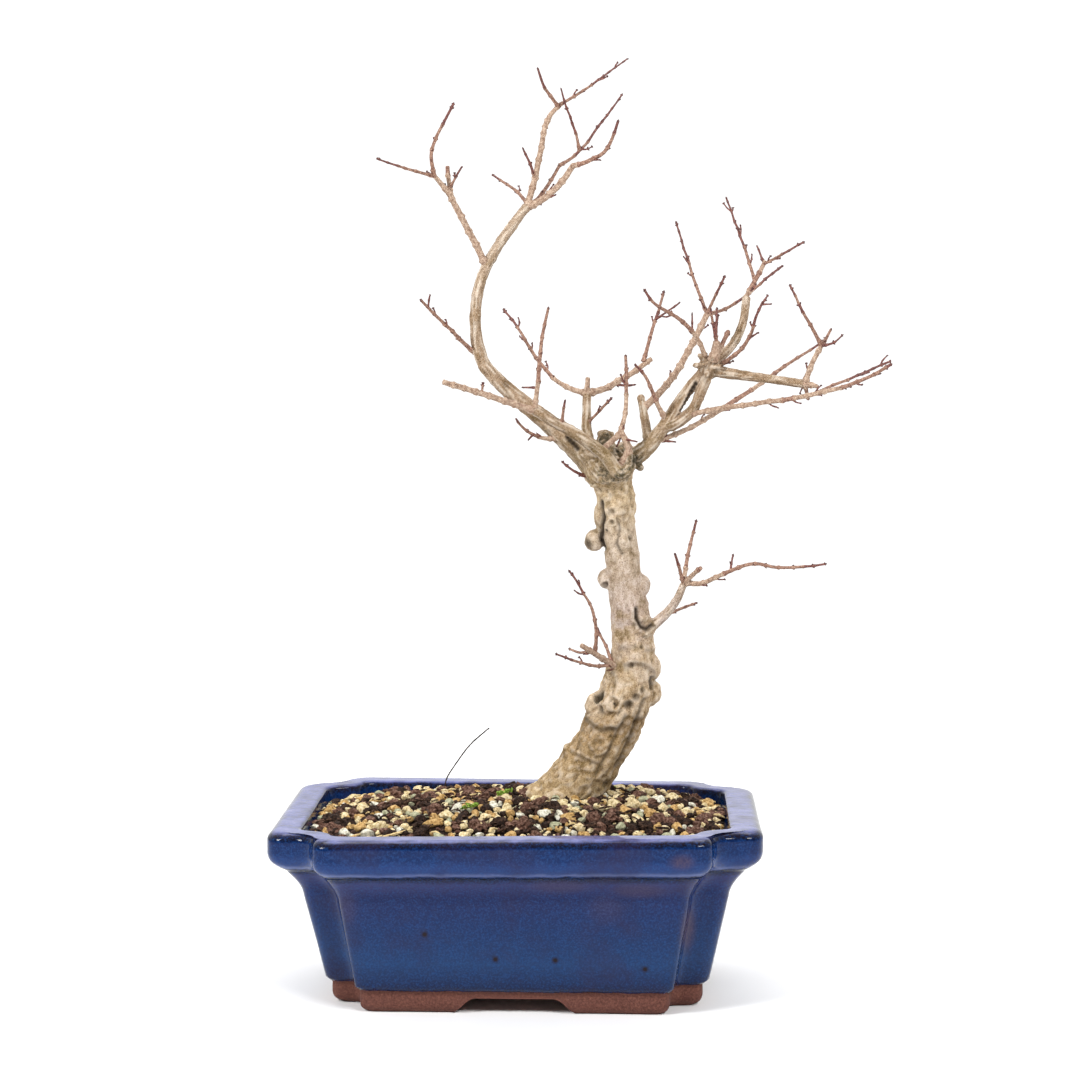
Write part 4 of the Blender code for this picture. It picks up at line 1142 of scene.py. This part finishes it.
def make_soil():
    rng = random.Random(SOIL_SEED)
    finishes = [
        granule("peat_crumb_dark", "#0e0705", "#281a13", "#523c2f"),
        granule("fired_clay_ochre", "#6f4f28", "#b08d58", "#d9b983"),
        granule("fired_clay_cream", "#8f774c", "#cfbc90", "#f0e2c2"),
        granule("pumice_white", "#96907a", "#cac6b4", "#ebe8dc"),
        granule("pumice_grey_green", "#77785c", "#9d9c80", "#bdbb9c"),
        granule("lava_brown", "#28150f", "#583c30", "#8e7162"),
        granule("bark_chip_composted", "#120a07", "#352319", "#6b5243"),
        granule("straw_dry", "#a98f62", "#cdb583", "#e2d0a4"),
        granule("sprig_green", "#46591f", "#6d8a30", "#9dba55"),
    ]
    heap = Heap()
    soil_bed(heap)
    stones, crumbs = [
        {steps: [stone(rng, steps, crumbly) for _ in range(DIFFERENT)] for steps in (1, 2, 3)}
        for crumbly in (False, True)]
    for grain in scatter(rng, GRAIN_SIZES, larger_stones()):
        steps = 3 if grain.radius > 3.0 else 2 if grain.radius > 1.55 else 1
        kind = rng.choices(KINDS, LARGE_SHARES if grain.radius > 1.9 else SMALL_SHARES)[0]
        verts, faces = rng.choice((crumbs if kind in (CRUMB, BROWN, CHIP) else stones)[steps])
        turn = Matrix.Rotation(rng.uniform(0, math.tau), 3, "Z")
        turn = turn @ Matrix.Rotation(rng.uniform(-0.5, 0.5), 3, "X")
        middle = Vector((grain.x, grain.y, grain.z))
        heap.add([middle + turn @ v * grain.radius for v in verts], faces, kind)
    lay_litter(heap, rng)
    soil = object_from("soil_mix", heap, finishes)
    soil.data.set_sharp_from_angle(angle=math.radians(GRAIN_SHARP_ANGLE))
    dress(soil, ["soil"])


# Wood.

VOXEL = 0.75
SHRINKS_BY = 0.3
GRAIN_STEP = 2.0
TRUNK_SIDES, BOUGH_SIDES = 24, 14

# The trunk is smoothest at a height, and gnarled this far above and below it. Its ridges end
# where its head begins. Cavities are found by smoothing the skin this many times and darkened
# by painted shade, the trunk's bark that stands up between them gets a painted highlight, and a
# bough has a ring at each node along it.
SMOOTHEST, SMOOTH_REACH = 212.0, 45.0
HEAD_FROM = 272.0
CAVITY_REACH = 5
NODE_APART = 11.0

# The front bough: how it bends out of the head, its girths there and from there on.
FRONT_BEND = ((6.8, 1.0, 7.0), (6.4, -1.5, 2.0), (3.6, -2.5, -1.8), (0.0, -2.5, -2.0))
BEND_GIRTHS = [4.4, 5.4, 6.2]
FRONT_GIRTHS = (6.6, 6.4, 5.6, 4.6)

# Marks on the front of the wood, found by looking straight at it from the front: pruning scars
# with a raised collar and a pit, hollows and cracks, whose darkness is painted shade. A pit
# below nothing is a dome.
Mark = namedtuple("Mark", "x z radius ridge pit dark")
COLLAR_AT, COLLAR_WIDTH, COLLAR_SCALE = 0.9, 0.3, 1.3
MARKS = (
    Mark(51.1, 155.7, 4.2, 1.3, -0.8, 0.0),
    Mark(51.5, 155.4, 1.3, 0.0, 0.8, 1.0),
    Mark(43.0, 158.0, 5.4, 0.0, 3.0, 0.85),
    Mark(41.0, 163.0, 3.6, 0.0, 1.8, 0.8),
    Mark(43.5, 151.5, 3.8, 0.0, 2.0, 0.8),
    Mark(59.3, 155.2, 3.8, 0.0, 2.0, 0.85),
    Mark(63.0, 159.0, 3.2, 0.0, 1.5, 0.7),
    Mark(66.5, 163.0, 2.6, 0.0, 1.2, 0.6),
    Mark(67.5, 200.5, 3.6, 0.0, -0.5, 0.0),
    Mark(70.5, 206.5, 2.0, 0.0, 1.2, 0.9),
    Mark(66.0, 186.5, 1.6, 0.0, 0.6, 0.7),
    Mark(71.2, 164.0, 2.2, 0.3, 1.6, 0.8),
    Mark(60.6, 176.6, 2.4, 0.4, 1.4, 0.75),
    Mark(67.9, 197.8, 5.0, 0.9, 0.2, 0.1),
    Mark(61.9, 198.9, 1.8, 0.0, 0.7, 0.6),
    Mark(46.5, 220.0, 3.0, 0.6, 1.2, 0.5),
    Mark(49.6, 248.5, 5.0, 0.4, -1.0, 0.0),
    Mark(47.0, 250.2, 1.2, 0.0, 0.8, 1.0),
    Mark(36.5, 242.2, 4.2, 0.0, 0.6, 0.75),
    Mark(59.8, 246.0, 2.6, 0.4, 0.5, 0.45),
    Mark(49.9, 260.7, 2.4, 0.0, 0.8, 0.6),
    Mark(31.2, 294.6, 1.9, 0.3, 1.8, 0.95),
    Mark(29.9, 296.0, 2.3, 0.0, 2.0, 0.95),
    Mark(28.5, 297.5, 2.5, 0.0, 2.2, 0.95),
    Mark(27.1, 299.0, 2.3, 0.0, 2.0, 0.95),
    Mark(25.8, 300.5, 1.9, 0.3, 1.8, 0.95),
    Mark(53.4, 288.0, 1.8, 0.3, 1.6, 0.9),
    Mark(46.9, 109.5, 3.2, 0.0, 1.0, 0.6),
    Mark(49.8, 254.8, 2.2, 0.7, 0.4, 0.2),
    Mark(62.2, 288.4, 2.6, 0.0, 1.6, 0.8),
)

# Ridges and cracks on the front of the wood, as lines through points to the right and up: how
# wide and how high they are, and how dark the painted shade beside them is, a painted shadow
# below a ridge and in a crack. A crack's rise is below nothing.
Ridge = namedtuple("Ridge", "wide rise dark points")
RIDGES = (
    Ridge(1.1, -1.3, 1.0, ((63.0, 207.3), (63.0, 202.4), (65.2, 197.6), (68.4, 196.0),
        (71.1, 198.1))),
    Ridge(1.4, 1.0, 0.0, ((61.2, 207.3), (61.3, 201.8), (64.2, 195.8), (68.6, 194.2),
        (72.2, 197.0))),
    Ridge(1.6, 1.3, 0.55, ((58.2, 178.2), (62.0, 179.3), (66.9, 178.3), (71.7, 174.0),
        (73.4, 169.6))),
    Ridge(1.8, 1.2, 0.7, ((35.0, 151.9), (37.0, 146.6), (43.6, 142.8), (52.3, 143.4),
        (57.7, 149.8))),
    Ridge(1.5, 1.1, 0.5, ((38.2, 149.7), (34.3, 141.1), (33.2, 133.3), (34.9, 126.7))),
    Ridge(1.1, -0.9, 0.7, ((67.5, 157.6), (61.0, 139.6), (52.3, 119.1))),
    Ridge(1.4, 0.9, 0.3, ((63.1, 154.2), (55.6, 135.7), (45.8, 115.8))),
    Ridge(1.1, -0.8, 0.6, ((57.2, 149.8), (50.1, 133.5), (41.4, 115.8))),
    Ridge(1.3, 0.9, 0.45, ((28.3, 128.9), (34.9, 126.2), (42.0, 123.5))),
    Ridge(0.9, -1.2, 1.0, ((44.1, 265.9), (45.2, 256.8), (44.1, 246.0), (45.7, 239.6))),
    Ridge(0.8, -0.5, 0.6, ((52.7, 256.8), (54.3, 251.4), (52.2, 242.8), (55.4, 237.4))),
    Ridge(1.2, 0.5, 0.4, ((65.2, 191.6), (67.9, 185.9), (72.8, 184.9))),
    Ridge(1.4, 0.5, 0.25, ((50.1, 183.1), (55.5, 187.2), (62.0, 188.3))),
    Ridge(0.8, -0.8, 0.9, ((71.2, 169.6), (71.2, 163.0))),
    Ridge(1.3, 0.8, 0.5, ((42.5, 138.4), (38.1, 132.8), (41.4, 126.8), (46.9, 129.0))),
)

# The dead hollow along the right bough, from one end to the other, darkened by painted shade.
HOLLOW_START, HOLLOW_END = Vector((86.8, 315.5)), Vector((94.6, 329.5))
HOLLOW_MARKS = 8
HOLLOW_MARK = (2.0, 0.25, 1.3, 0.97)

# The splinters of the hub of the right bough, the mossy broken stub behind the front bough and
# the dark nub right of the head.
SPLINTERS = (
    (-4.5, -6.0, 5.5), (-6.8, -5.0, 1.0), (-2.5, -7.5, 1.5), (1.5, -7.0, 4.5), (4.5, -6.5, 0.5),
    (-1.0, -7.0, -3.5),
)
STUB = ((45.2, 13.0, 292.0), (45.7, 14.0, 298.0), (45.9, 14.0, 302.6))
STUB_GIRTHS = (8.0, 8.4, 9.4)
NUB = (64.9, 2.0, 284.2)

# Green-black algae, found in the same way as the marks.
Stain = namedtuple("Stain", "x z radius strength")
STAINS = (
    Stain(47.7, 280.7, 9.0, 0.9), Stain(58.0, 281.5, 7.0, 0.9), Stain(62.7, 287.5, 6.0, 0.9),
    Stain(54.5, 295.2, 5.0, 0.9), Stain(44.8, 300.7, 6.0, 0.8), Stain(36.0, 284.0, 8.0, 0.45),
    Stain(50.0, 244.5, 5.0, 0.55), Stain(54.0, 240.0, 4.0, 0.4), Stain(50.0, 257.0, 4.0, 0.5),
    Stain(43.0, 157.0, 6.0, 0.9), Stain(52.0, 145.0, 10.0, 0.35), Stain(60.0, 153.0, 6.0, 0.5),
    Stain(47.0, 110.0, 7.0, 0.7), Stain(38.0, 127.0, 5.0, 0.4), Stain(49.0, 171.5, 4.0, 0.6),
    Stain(58.0, 196.0, 4.0, 0.4), Stain(45.7, 299.5, 7.0, 1.0), Stain(62.2, 288.4, 6.5, 1.0),
    Stain(61.0, 293.5, 4.5, 0.9), Stain(64.9, 284.0, 4.0, 0.9), Stain(52.0, 292.5, 4.5, 0.9),
    Stain(55.0, 280.0, 5.0, 1.0), Stain(49.0, 279.0, 5.0, 0.8), Stain(30.0, 110.0, 6.0, 0.35),
)


def wood_lines():
    """Every limb of wood as a rounded line: its points and girths, by name."""
    lines = {"trunk": limb_path(TRUNK_FOOT, TRUNK, TRUNK_STEP)}
    for name, (parent, made) in BOUGHS.items():
        lines[name] = limb_path(foot_on(lines[parent][0], made.at), made)
    return lines


def smooth(mesh, times, factor):
    bm = bmesh.new()
    bm.from_mesh(mesh)
    for _ in range(times):
        bmesh.ops.smooth_vert(
            bm, verts=bm.verts, factor=factor, use_axis_x=True, use_axis_y=True, use_axis_z=True)
    bm.to_mesh(mesh)
    bm.free()


def bark_piece(name, heap, lines, bark, replaced):
    """Fuses a heap of closed bodies into one skin, gives it the bark's relief and dresses it."""
    samples = []
    for limb_name, (points, girths) in lines.items():
        line, widths = rounded_line(points, girths, GRAIN_STEP)
        along = 0.0
        for i, (point, width, directions) in enumerate(zip(line, widths, directions_of(line))):
            along += (point - line[i - 1]).length if i else 0.0
            samples.append((point, width, directions, along, limb_name == "trunk"))
    wood = object_from(name, heap, [bark])
    remesh = wood.modifiers.new("remesh", "REMESH")
    remesh.mode = "VOXEL"
    remesh.voxel_size = VOXEL * MM * 1
    mesh = evaluated_mesh(wood)
    wood.modifiers.clear()
    wood.data = mesh
    smooth(mesh, 3, 0.5)
    relief(mesh, samples)
    mesh.shade_smooth()
    dress(wood, replaced)


def make_wood(lines, bark):
    heap = Heap()
    boughs = {name: line for name, line in lines.items() if name != "bough_front"}
    for name, (points, girths) in boughs.items():
        line, widths = rounded_line(points, girths, GRAIN_STEP)
        sides = TRUNK_SIDES if name == "trunk" else BOUGH_SIDES
        sweep(heap, line, [w / 2 + SHRINKS_BY for w in widths], sides, [0] * len(line))
    for knob in TRUNK_KNOBS:
        centre = mix(lines["trunk"][0], knob.at) + Vector((knob.right, knob.back, knob.along))
        ball(heap, centre, knob.radius, knob.flat)
    hub = lines["bough_right"][0][-1]
    ball(heap, hub, HUB_RADIUS, 1.1)
    for splinter in SPLINTERS:
        points = [hub, hub + Vector(splinter), hub + Vector(splinter) * 1.35]
        line, widths = rounded_line(points, [4.2, 3.2, 1.4], 1.0)
        sweep(heap, line, [w / 2 for w in widths], 6, [0] * len(line), 0.3)
    ball(heap, Vector(NUB), 2.2, 0.9)
    line, widths = rounded_line([Vector(p) for p in STUB], STUB_GIRTHS, 1.0)
    sweep(heap, line, [w / 2 for w in widths], 18, [0] * len(line), 0.5)
    bark_piece("trunk_and_boughs_bark", heap, boughs, bark, list(boughs))

    heap = Heap()
    points, _ = lines["bough_front"]
    bend = [points[0] + Vector(step) for step in FRONT_BEND]
    forward = [
        point + Vector((0.0, -2.0 * (1 - i / len(points)), 0.0)) for i, point in enumerate(points)]
    path = bend + forward[1:]
    rest = len(path) - len(BEND_GIRTHS)
    girths = BEND_GIRTHS + [mix(FRONT_GIRTHS, i / (rest - 1)) for i in range(rest)]
    line, widths = rounded_line(path, girths, 1.5)
    sweep(heap, line, [w / 2 + SHRINKS_BY for w in widths], 16, [0] * len(line))
    bark_piece("bough_front_bark", heap, {"bough_front": (path, girths)}, bark, ["bough_front"])


def found_from_front(bvh, marks):
    """Where each mark lies on the wood, looking straight at it from the front."""
    found = []
    for mark in marks:
        hit = bvh.ray_cast(Vector((mark.x, -200, mark.z)) * MM + POT_CENTRE, Vector((0, 1, 0)))[0]
        if hit:
            found.append(((hit - POT_CENTRE) / MM, mark))
    return found


def beside_ridges(place, ridges):
    """How far ridges and cracks raise a place on the trunk's front, and how much painted shade
    darkens it: a painted shadow below a ridge, and in a crack.
    """
    rise = dark = 0.0
    for ridge, points in ridges:
        reach = ridge.wide * 2.5
        for a, b in zip(points, points[1:]):
            run = b - a
            share = min(1.0, max(0.0, (place - a).dot(run) / run.length_squared))
            away = place - a - run * share
            if away.length > reach:
                continue
            near = math.exp(-(away.length / ridge.wide) ** 2)
            # A raised ridge casts its painted shadow below it.
            shade = away + Vector((0.0, ridge.wide if ridge.rise > 0 else 0.0))
            rise = max(rise, ridge.rise * near, key=abs)
            dark = max(dark, ridge.dark * math.exp(-(shade.length / (ridge.wide * 1.15)) ** 2))
    return rise, dark


def sunk_by(mesh):
    """How far each corner lies below the places around it, in millimetres."""
    mesh.update()
    corners, normals = numpy.empty(len(mesh.vertices) * 3), numpy.empty(len(mesh.vertices) * 3)
    mesh.vertices.foreach_get("co", corners)
    mesh.vertices.foreach_get("normal", normals)
    ends = numpy.empty(len(mesh.edges) * 2, dtype=int)
    mesh.edges.foreach_get("vertices", ends)
    corners, normals, ends = corners.reshape(-1, 3), normals.reshape(-1, 3), ends.reshape(-1, 2)
    count = numpy.bincount(ends.ravel(), minlength=len(corners))[:, None]
    around = corners.copy()
    for _ in range(CAVITY_REACH):
        total = numpy.zeros_like(around)
        numpy.add.at(total, ends[:, 0], around[ends[:, 1]])
        numpy.add.at(total, ends[:, 1], around[ends[:, 0]])
        around = total / count
    return ((around - corners) * normals).sum(axis=1) / MM


def trunk_bark(place, grain, along):
    """How far the trunk's bark rises at a place, how much painted shade darkens it where it dips
    and in its furrows, and how much a painted highlight pales it where it stands up.

    The grain is the place seen along the trunk's line, and along is how far up that line it is.
    """
    gnarled = 0.3 + 0.7 * min(1.0, abs(place.z - SMOOTHEST) / SMOOTH_REACH) ** 2
    lump = noise.noise(place * 0.09)
    lump += noise.noise(place * 0.22 + Vector((9, 0, 0))) * 0.7 * gnarled
    furrow = 1 - abs(noise.noise(Vector((grain.x * 0.22, grain.y * 0.22, along * 0.06)))) * 2
    furrow = max(0.0, furrow - 0.84) / 0.16 * gnarled
    fibre = noise.noise(Vector((grain.x * 0.4, grain.y * 0.4, along * 0.2 + 30))) * gnarled
    plate = noise.noise(place * 0.34 + Vector((0, 50, 0))) * gnarled
    flaky = fibre * 0.3 + plate * 0.6
    # Painted shade in the furrows and where the flakes dip, a painted highlight where they stand
    # up.
    dark = max(0.3 * furrow, 0.6 * max(0.0, -plate - 0.15), 0.4 * max(0.0, -fibre - 0.25))
    return lump + flaky - 0.4 * furrow, dark, max(0.0, min(0.35, flaky))


def bough_bark(place, grain, along, width, facing_up):
    """The same three for a bough, whose bark is ringed at every node. Painted shade darkens it
    underneath and between its fibres, and a painted highlight pales the fibres that stand up.
    """
    girth = max(width, 3.0)
    lump = noise.noise(place * 0.3) * 0.045 * girth
    fibre = noise.noise(Vector((grain.x * 0.8, grain.y * 0.8, along * 0.12)))
    ring = math.exp(-(((along % NODE_APART) - NODE_APART / 2) / 0.7) ** 2) * 0.22
    # Painted shade between the fibres, and underneath where the bough faces down.
    dark = max(0.45 * max(0.0, -fibre - 0.2), 0.3 * max(0.0, -facing_up))
    return lump + fibre * 0.045 * girth + ring, dark, max(0.0, min(0.5, fibre))


def at_marks(place, marks):
    """How far scars and hollows raise a place on the wood, and how much painted shade darkens their
    pits and hollows.
    """
    rise = dark = 0.0
    for centre, mark in marks:
        share = (place - centre).length / mark.radius
        if share > 2.4:
            continue
        collar = math.exp(-((share - COLLAR_AT) / COLLAR_WIDTH) ** 2)
        rise += mark.ridge * COLLAR_SCALE * collar - mark.pit * math.exp(-(share / 0.55) ** 2)
        dark = max(dark, mark.dark * math.exp(-(share / 0.75) ** 4))
    return rise, dark


def at_stains(place, stains):
    """How green with algae a place on the wood is."""
    green = 0.0
    for centre, stain in stains:
        share = (place - centre).length / stain.radius
        if share < 1.5:
            green = max(green, stain.strength * math.exp(-share ** 4))
    return green


def relief(mesh, samples):
    """Raises and sinks the bark: lumps, furrows along the grain, pruning scars and hollows."""
    tree = kdtree.KDTree(len(samples))
    for i, sample in enumerate(samples):
        tree.insert(sample[0], i)
    tree.balance()
    corners = [vert.co.copy() for vert in mesh.vertices]
    bvh = BVHTree.FromPolygons(corners, [tuple(face.vertices) for face in mesh.polygons])
    places = [
        HOLLOW_START.lerp(HOLLOW_END, i / (HOLLOW_MARKS - 1)) for i in range(HOLLOW_MARKS)]
    marks = found_from_front(bvh, MARKS + tuple(Mark(*place, *HOLLOW_MARK) for place in places))
    stains = found_from_front(bvh, STAINS)
    ridges = [(ridge, [Vector(point) for point in ridge.points]) for ridge in RIDGES]
    moved, on_trunk, painted_shade, algae, high = [], [], [], [], []
    for vert in mesh.vertices:
        place = (vert.co - POT_CENTRE) / MM
        point, width, (_, across, aside), along, is_trunk = samples[tree.find(place)[1]]
        away = place - point
        grain = Vector((away.dot(across), away.dot(aside)))
        if is_trunk:
            rise, dark, raised_highlight = trunk_bark(place, grain, along)
        else:
            rise, dark, raised_highlight = bough_bark(place, grain, along, width, vert.normal.z)
        changes = [at_marks(place, marks)]
        if vert.normal.y < 0.2 and place.z < HEAD_FROM:
            changes.append(beside_ridges(Vector((place.x, place.z)), ridges))
        for more, darker in changes:
            rise += more
            dark = max(dark, darker)
        moved.append(vert.co + vert.normal * rise * MM)
        on_trunk.append(is_trunk)
        painted_shade.append(dark)
        algae.append(at_stains(place, stains))
        high.append(raised_highlight)
    for vert, to in zip(mesh.vertices, moved):
        vert.co = to
    # The sunken places get painted shade, and the trunk's bark that stands up a painted highlight.
    for index, depth in enumerate(sunk_by(mesh)):
        painted_shade[index] = max(painted_shade[index], min(0.7, (depth - 0.1) * 2.0))
        if on_trunk[index]:
            high[index] = max(high[index], min(0.35, (-depth - 0.15) * 1.2))
    for name, values in (("painted_shade", painted_shade), ("algae", algae), ("high", high)):
        mesh.attributes.new(name, "FLOAT", "POINT").data.foreach_set("value", values)


# Twigs.

# How fine the steps along a twig are, how much thicker it is drawn so that its bark shows, and
# the girth above which a twig ends in a cut and not in a bud. Then the girths from which its bark
# is old and in its second year.
TWIG_SEED = 5
TWIG_STEP = 0.9
TWIG_THICKER = 1.12
SAWN_ABOVE = 1.9
OLD_FROM, MID_FROM = 2.45, 1.55
OLD, MID, YOUNG, BUD = range(4)

# Nodes: how far apart they are on a thin twig and on a thick one, how far the twig bends there,
# and by what share and how far along it swells. Then the share of sides that have a spur and the
# share up to which they have a bud.
THIN_GIRTH, THIN_GAP, THICK_GAP = 1.5, (3.5, 7.0), (5.5, 11.0)
NODE_BEND = 0.3
NODE_SWELL, SWELL_REACH = 0.38, 0.8
SPUR_UP_TO, BUD_UP_TO = 0.17, 0.8


def bud(heap, foot, out, length, width):
    """One pointed winter bud, wrapped in overlapping scales that show as two faint rings."""
    line = [foot + out * (length * t) for t in (-0.15, 0.1, 0.3, 0.42, 0.6, 0.72, 0.88, 1.0)]
    radii = [width * r / 2 for r in (0.7, 0.95, 1.1, 1.0, 0.95, 0.72, 0.45, 0.1)]
    sweep(heap, line, radii, 6, [BUD] * len(line))


def finish_for(girth, rng):
    """The bark that a stretch of twig has by its girth, with some chance in it."""
    weight = girth + rng.uniform(-0.25, 0.25)
    return OLD if weight > OLD_FROM else MID if weight > MID_FROM else YOUNG


def grow_twig(heap, root, made, rng, order=0):
    """A limb of a mass with its rings, buds and short side twigs, and all that grows from it."""
    points, girths = limb_path(root, made)
    line, widths = rounded_line(points, [girth * TWIG_THICKER for girth in girths], TWIG_STEP)
    dress_twig(heap, line, widths, rng, order)
    for offshoot in made.offshoots:
        grow_twig(heap, foot_on(points, offshoot.at), offshoot, rng, order + 1)


def dress_twig(heap, line, widths, rng, order):
    """One twig along its line: it swells and bends a little at each node and ends in a bud."""
    length = sum((b - a).length for a, b in zip(line, line[1:]))
    step = length / (len(line) - 1)
    nodes = []
    reached = rng.uniform(2.5, 5.0)
    while reached < length - 2.0:
        girth = mix(widths, reached / length)
        nodes.append(reached)
        reached += rng.uniform(*(THIN_GAP if girth < THIN_GIRTH else THICK_GAP))
    rings = directions_of(line)
    bends = [
        (at, Vector([rng.uniform(-NODE_BEND, NODE_BEND) for _ in range(3)])) for at in nodes]
    sway = [(0.0, Vector())] + bends + [(length, Vector())]
    radii, finishes, bent = [], [], []
    finish = finish_for(widths[0], rng)
    node_index = 0
    place_in_sway = 0
    for i, point in enumerate(line):
        at = i * step
        while place_in_sway < len(sway) - 2 and at > sway[place_in_sway + 1][0]:
            place_in_sway += 1
        (start, a), (end, b) = sway[place_in_sway], sway[place_in_sway + 1]
        share = (at - start) / max(end - start, 0.001)
        bent.append(point + a.lerp(b, share))
        if node_index < len(nodes) and at > nodes[node_index]:
            node_index += 1
            finish = finish_for(widths[i], rng)
        near = min((abs(at - n) for n in nodes), default=9.0)
        swell = 1 + NODE_SWELL * math.exp(-(near / SWELL_REACH) ** 2)
        root_swell = 1 + 0.35 * math.exp(-at / 1.6) if order else 1 + 0.2 * math.exp(-at / 2.0)
        radii.append(widths[i] / 2 * swell * root_swell)
        finishes.append(finish)
    sides = 10 if max(widths) > 2.6 else 8 if max(widths) > 1.4 else 6
    sweep(heap, bent, radii, sides, finishes, 0.16)
    turn = rng.uniform(0, math.pi)
    for at in nodes:
        i = min(int(at / step), len(line) - 1)
        ahead, across, aside = rings[i]
        turn += math.pi / 2 + rng.uniform(-0.3, 0.3)
        girth = widths[i]
        for side in (1, -1):
            kind = rng.random()
            out = (across * math.cos(turn) + aside * math.sin(turn)) * side
            foot = bent[i] + out * girth * 0.42
            lean = (ahead * 0.75 + out * 0.65).normalized()
            if kind < SPUR_UP_TO and order < 3 and at < length - 6:
                reach = rng.uniform(1.8, 5.0)
                end = foot + (lean + ahead * 0.4) * reach
                spur_line, spur_widths = rounded_line(
                    [foot - out * 0.3, foot + lean * reach * 0.5, end],
                    [min(1.1, girth * 0.7), 0.85, 0.7], TWIG_STEP)
                dress_twig(heap, spur_line, spur_widths, rng, 3)
            elif kind < BUD_UP_TO:
                size = rng.uniform(0.9, 1.5) if girth < 2.4 else rng.uniform(0.6, 1.0)
                bud(heap, foot, lean, size, size * 0.62)
    tip, across, aside = rings[-1]
    if widths[-1] > SAWN_ABOVE:
        return
    size = rng.uniform(1.6, 2.0) if length > 8 else 1.3
    bud(heap, bent[-1] - tip * 0.9, tip, size, max(0.85, widths[-1]))
    out = across * math.cos(turn) + aside * math.sin(turn)
    for side in (1, -1):
        foot = bent[-1] - tip * 0.7 + out * widths[-1] * 0.3 * side
        bud(heap, foot, (tip + out * 0.7 * side).normalized(), 1.0, 0.62)


def inside_box(vert):
    """A corner brought back inside the part's own box, where a bud's tip would pass it."""
    low, high = [(corner - POT_CENTRE) / MM for corner in cad_bounds]
    return Vector([max(low[i], min(high[i], vert[i])) for i in range(3)])


def make_masses(lines, finishes):
    for name, (parent, made) in MASSES.items():
        heap = Heap()
        rng = random.Random(f"{name} {TWIG_SEED}")
        grow_twig(heap, foot_on(lines[parent][0], made.at), made, rng)
        heap.verts = [inside_box(vert) for vert in heap.verts]
        dress(object_from(name + "_grown", heap, finishes), [name])


# Scene.

# The room's brightness in front of the pot and all round, and the paper under it in millimetres.
ROOM_FRONT = 0.2
ROOM_STRENGTH = 1.15
PAPER_HALF = 4000.0
PAPER_END = 1300.0

# Lights: where each is and what it shines on in metres, its size and its power in watts.
SOFTBOXES = {
    "softbox_right": ((1.1, -1.35, 1.5), (0.0, 0.0, 0.2), (0.8, 0.4), 34),
    "softbox_left": ((-1.4, -1.2, 1.4), (0.0, 0.0, 0.2), (0.45, 0.6), 41),
    "softbox_above": ((0.0, 0.9, 1.9), (0.0, 0.6, 0.0), (1.6, 1.2), 20),
}

# The camera, as the photo's pot gave it: it looks 4.91 degrees down and 2.42 to the left.
CAMERA_PLACE = (0.070, -1.3995, 0.3652)
CAMERA_DOWN, CAMERA_LEFT = 4.91, 2.42
CAMERA_LENS, CAMERA_SENSOR = 86.5, 36.0


def make_floor():
    heap = Heap()
    half, end = PAPER_HALF, PAPER_END
    corners = ((-half, -half), (half, -half), (half, end), (-half, end))
    heap.add([Vector((x, y, 0.0)) for x, y in corners], [(0, 1, 2, 3)])
    object_from("studio_floor", heap, [studio_paper()])


def light(name, place, aim, size, power):
    """A soft rectangular light, turned towards what it shines on."""
    data = bpy.data.lights.new(name, "AREA")
    data.shape = "RECTANGLE"
    data.size, data.size_y = size
    data.energy = power
    lamp = bpy.data.objects.new(name, data)
    lamp.location = Vector(place) + POT_CENTRE
    lamp.rotation_euler = (Vector(aim) - Vector(place)).to_track_quat("-Z", "Y").to_euler()
    bpy.context.scene.collection.objects.link(lamp)


def make_world():
    """White paper behind and above, and a darker room in front, which the glaze mirrors."""
    world = bpy.data.worlds.new("studio")
    world.use_nodes = True
    tree = world.node_tree
    way = add(tree, "TexCoord", {})
    parts = add(tree, "SeparateXYZ", {}, {0: way.outputs["Generated"]})
    share = add(tree, "MapRange", {"From Min": -1.0, "From Max": 1.0}, {
        "Value": parts.outputs["Y"]})
    tone = add(tree, "ValToRGB", {}, {0: share.outputs[0]}, ((0.3, ROOM_FRONT), (0.85, 1.0)))
    background = tree.nodes["Background"]
    tree.links.new(tone.outputs[0], background.inputs["Color"])
    background.inputs["Strength"].default_value = ROOM_STRENGTH
    bpy.context.scene.world = world


def light_and_camera():
    for name, settings in SOFTBOXES.items():
        light(name, *settings)
    camera_data = bpy.data.cameras.new("camera")
    camera_data.lens = CAMERA_LENS
    camera_data.sensor_width = CAMERA_SENSOR
    camera = bpy.data.objects.new("camera", camera_data)
    camera.location = Vector(CAMERA_PLACE) + POT_CENTRE
    camera.rotation_euler = (math.radians(90 - CAMERA_DOWN), 0.0, math.radians(CAMERA_LEFT))
    bpy.context.scene.collection.objects.link(camera)
    bpy.context.scene.camera = camera
    bpy.context.scene.view_settings.view_transform = "Standard"


make_floor()
make_world()
light_and_camera()
make_pot(cobalt_glaze(), bare_stoneware())
make_soil()
wood_by_name = wood_lines()
make_wood(wood_by_name, maple_bark())
make_masses(wood_by_name, [
    twig_bark("maple_twig_old_bark", "#775a47", "#9c826e", "#bca691", 0.78, 1.6),
    twig_bark("maple_twig_second_year", "#5f3c2f", "#83604f", "#a68571", 0.7, 1.4),
    twig_bark("maple_twig_young", "#3b1b18", "#61322b", "#8a5747", 0.55, 0.9),
    twig_bark("maple_bud_scales", "#241010", "#45211d", "#6d3d32", 0.6, 0.7),
])
